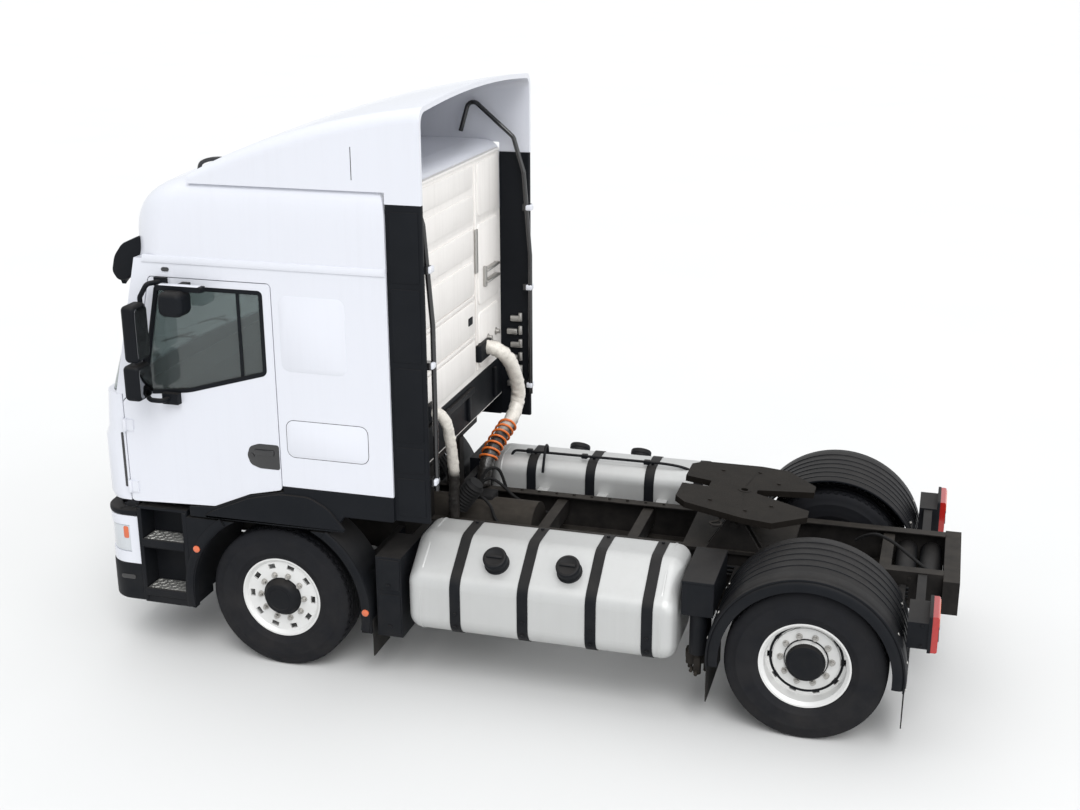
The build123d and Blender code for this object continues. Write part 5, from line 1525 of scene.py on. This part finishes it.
def coil_round(line):
    """Points of a coil that winds round a line at an even pace."""
    coil = []
    last = COIL_TURNS * COIL_STEPS
    for index in range(last + 1):
        share = index / last * (len(line) - 1)
        step = min(int(share), len(line) - 2)
        centre = line[step].lerp(line[step + 1], share - step)
        along = (line[step + 1] - line[step]).normalized()
        across = along.cross(Vector((1, 0, 0))).normalized()
        other = along.cross(across)
        angle = math.tau * index / COIL_STEPS
        coil.append(centre + (across * math.cos(angle) + other * math.sin(angle)) * COIL_RADIUS)
    return coil


class TRACTOR_OT_air_lines(bpy.types.Operator):
    """Hang the wrapped air lines and the orange coil between the cab and the chassis"""

    bl_idname = "tractor.air_lines"
    bl_label = "Air lines"

    def execute(self, context):
        bundle = wrapped_line("line_bundle", BUNDLE, BUNDLE_RADIUS, ["air_lines"])
        wrapped_line("line_sleeve", SLEEVE, SLEEVE_RADIUS)
        coil = coil_round(bundle[int(len(bundle) * COIL_START):int(len(bundle) * COIL_END)])
        path = centre_line(coil, COIL_SMOOTHING)
        bm = curve_mesh([coil], COIL_TUBE, COIL_SMOOTHING)
        hang("orange_coil", bm, "orange_coil")
        return {"FINISHED"}


FLOOR_SIZE = 400
SKY_COLOUR = (0.96, 0.98, 1.0, 1)
SKY_STRENGTH = 0.86
SENSOR_WIDTH = 36.0

# Lights: where each shines from, its spread in degrees and its strength
LIGHTS = (
    ("key", (-3.0, 7.0, 9.0), 35.0, 1.6),
    ("top", (1.0, -2.0, 9.0), 60.0, 0.7),
    ("rear", (-8.0, 4.0, 1.6), 70.0, 1.0),
)


class TRACTOR_OT_stage(bpy.types.Operator):
    """Add the floor, the studio lights and the camera"""

    bl_idname = "tractor.stage"
    bl_label = "Stage"

    def execute(self, context):
        settings = context.scene.tractor_stage
        bm = bmesh.new()
        bmesh.ops.create_grid(bm, x_segments=1, y_segments=1, size=FLOOR_SIZE)
        smooth_object("floor", bm, "pale_floor")
        world = bpy.data.worlds.new("studio")
        world.use_nodes = True
        background = world.node_tree.nodes["Background"]
        background.inputs["Color"].default_value = SKY_COLOUR
        background.inputs["Strength"].default_value = SKY_STRENGTH
        context.scene.world = world
        for name, place, spread, power in LIGHTS:
            light = bpy.data.lights.new(name, "SUN")
            light.energy = power
            light.angle = math.radians(spread)
            lamp = bpy.data.objects.new(name, light)
            lamp.location = place
            lamp.rotation_euler = (-Vector(place)).to_track_quat("-Z", "Y").to_euler()
            context.scene.collection.objects.link(lamp)
        camera = bpy.data.objects.new("camera", bpy.data.cameras.new("camera"))
        camera.data.sensor_fit = "HORIZONTAL"
        camera.data.sensor_width = SENSOR_WIDTH
        camera.data.lens = settings.lens
        camera.location = Vector(settings.offset) + Vector((FRONT_X, 0, 0))
        level = math.cos(settings.pitch)
        look = Vector((math.sin(settings.yaw) * level, -math.cos(settings.yaw) * level, -math.sin(settings.pitch)))
        turn = look.to_track_quat("-Z", "Y").to_matrix().to_4x4() @ Matrix.Rotation(settings.roll, 4, "Z")
        camera.rotation_euler = turn.to_euler()
        context.scene.collection.objects.link(camera)
        context.scene.camera = camera
        context.scene.view_settings.view_transform = "Standard"
        return {"FINISHED"}


class TRACTOR_PT_panel(bpy.types.Panel):
    """Lists the dressing steps"""

    bl_idname = "TRACTOR_PT_panel"
    bl_label = "Tractor unit"
    bl_space_type = "VIEW_3D"
    bl_region_type = "UI"
    bl_category = "Tractor"

    def draw(self, context):
        for operator in OPERATORS:
            self.layout.operator(operator.bl_idname)


OPERATORS = (
    TRACTOR_OT_finishes,
    TRACTOR_OT_tyres,
    TRACTOR_OT_wheels,
    TRACTOR_OT_cab_sides,
    TRACTOR_OT_rear_wall,
    TRACTOR_OT_deflectors,
    TRACTOR_OT_cab_face,
    TRACTOR_OT_steps,
    TRACTOR_OT_arches,
    TRACTOR_OT_mirrors,
    TRACTOR_OT_tanks,
    TRACTOR_OT_mudguards,
    TRACTOR_OT_rear_lamps,
    TRACTOR_OT_coupling,
    TRACTOR_OT_chassis,
    TRACTOR_OT_interior,
    TRACTOR_OT_air_lines,
    TRACTOR_OT_stage,
)
CLASSES = (TractorPaint, TractorTyre, TractorStage, *OPERATORS, TRACTOR_PT_panel)


def register():
    for each in CLASSES:
        bpy.utils.register_class(each)
    bpy.types.Scene.tractor_paint = bpy.props.PointerProperty(type=TractorPaint)
    bpy.types.Scene.tractor_tyre = bpy.props.PointerProperty(type=TractorTyre)
    bpy.types.Scene.tractor_stage = bpy.props.PointerProperty(type=TractorStage)


def unregister():
    del bpy.types.Scene.tractor_stage
    del bpy.types.Scene.tractor_tyre
    del bpy.types.Scene.tractor_paint
    for each in reversed(CLASSES):
        bpy.utils.unregister_class(each)


def main():
    register()
    for operator in OPERATORS:
        group, name = operator.bl_idname.split(".")
        getattr(getattr(bpy.ops, group), name)()


if __name__ == "__main__":
    main()
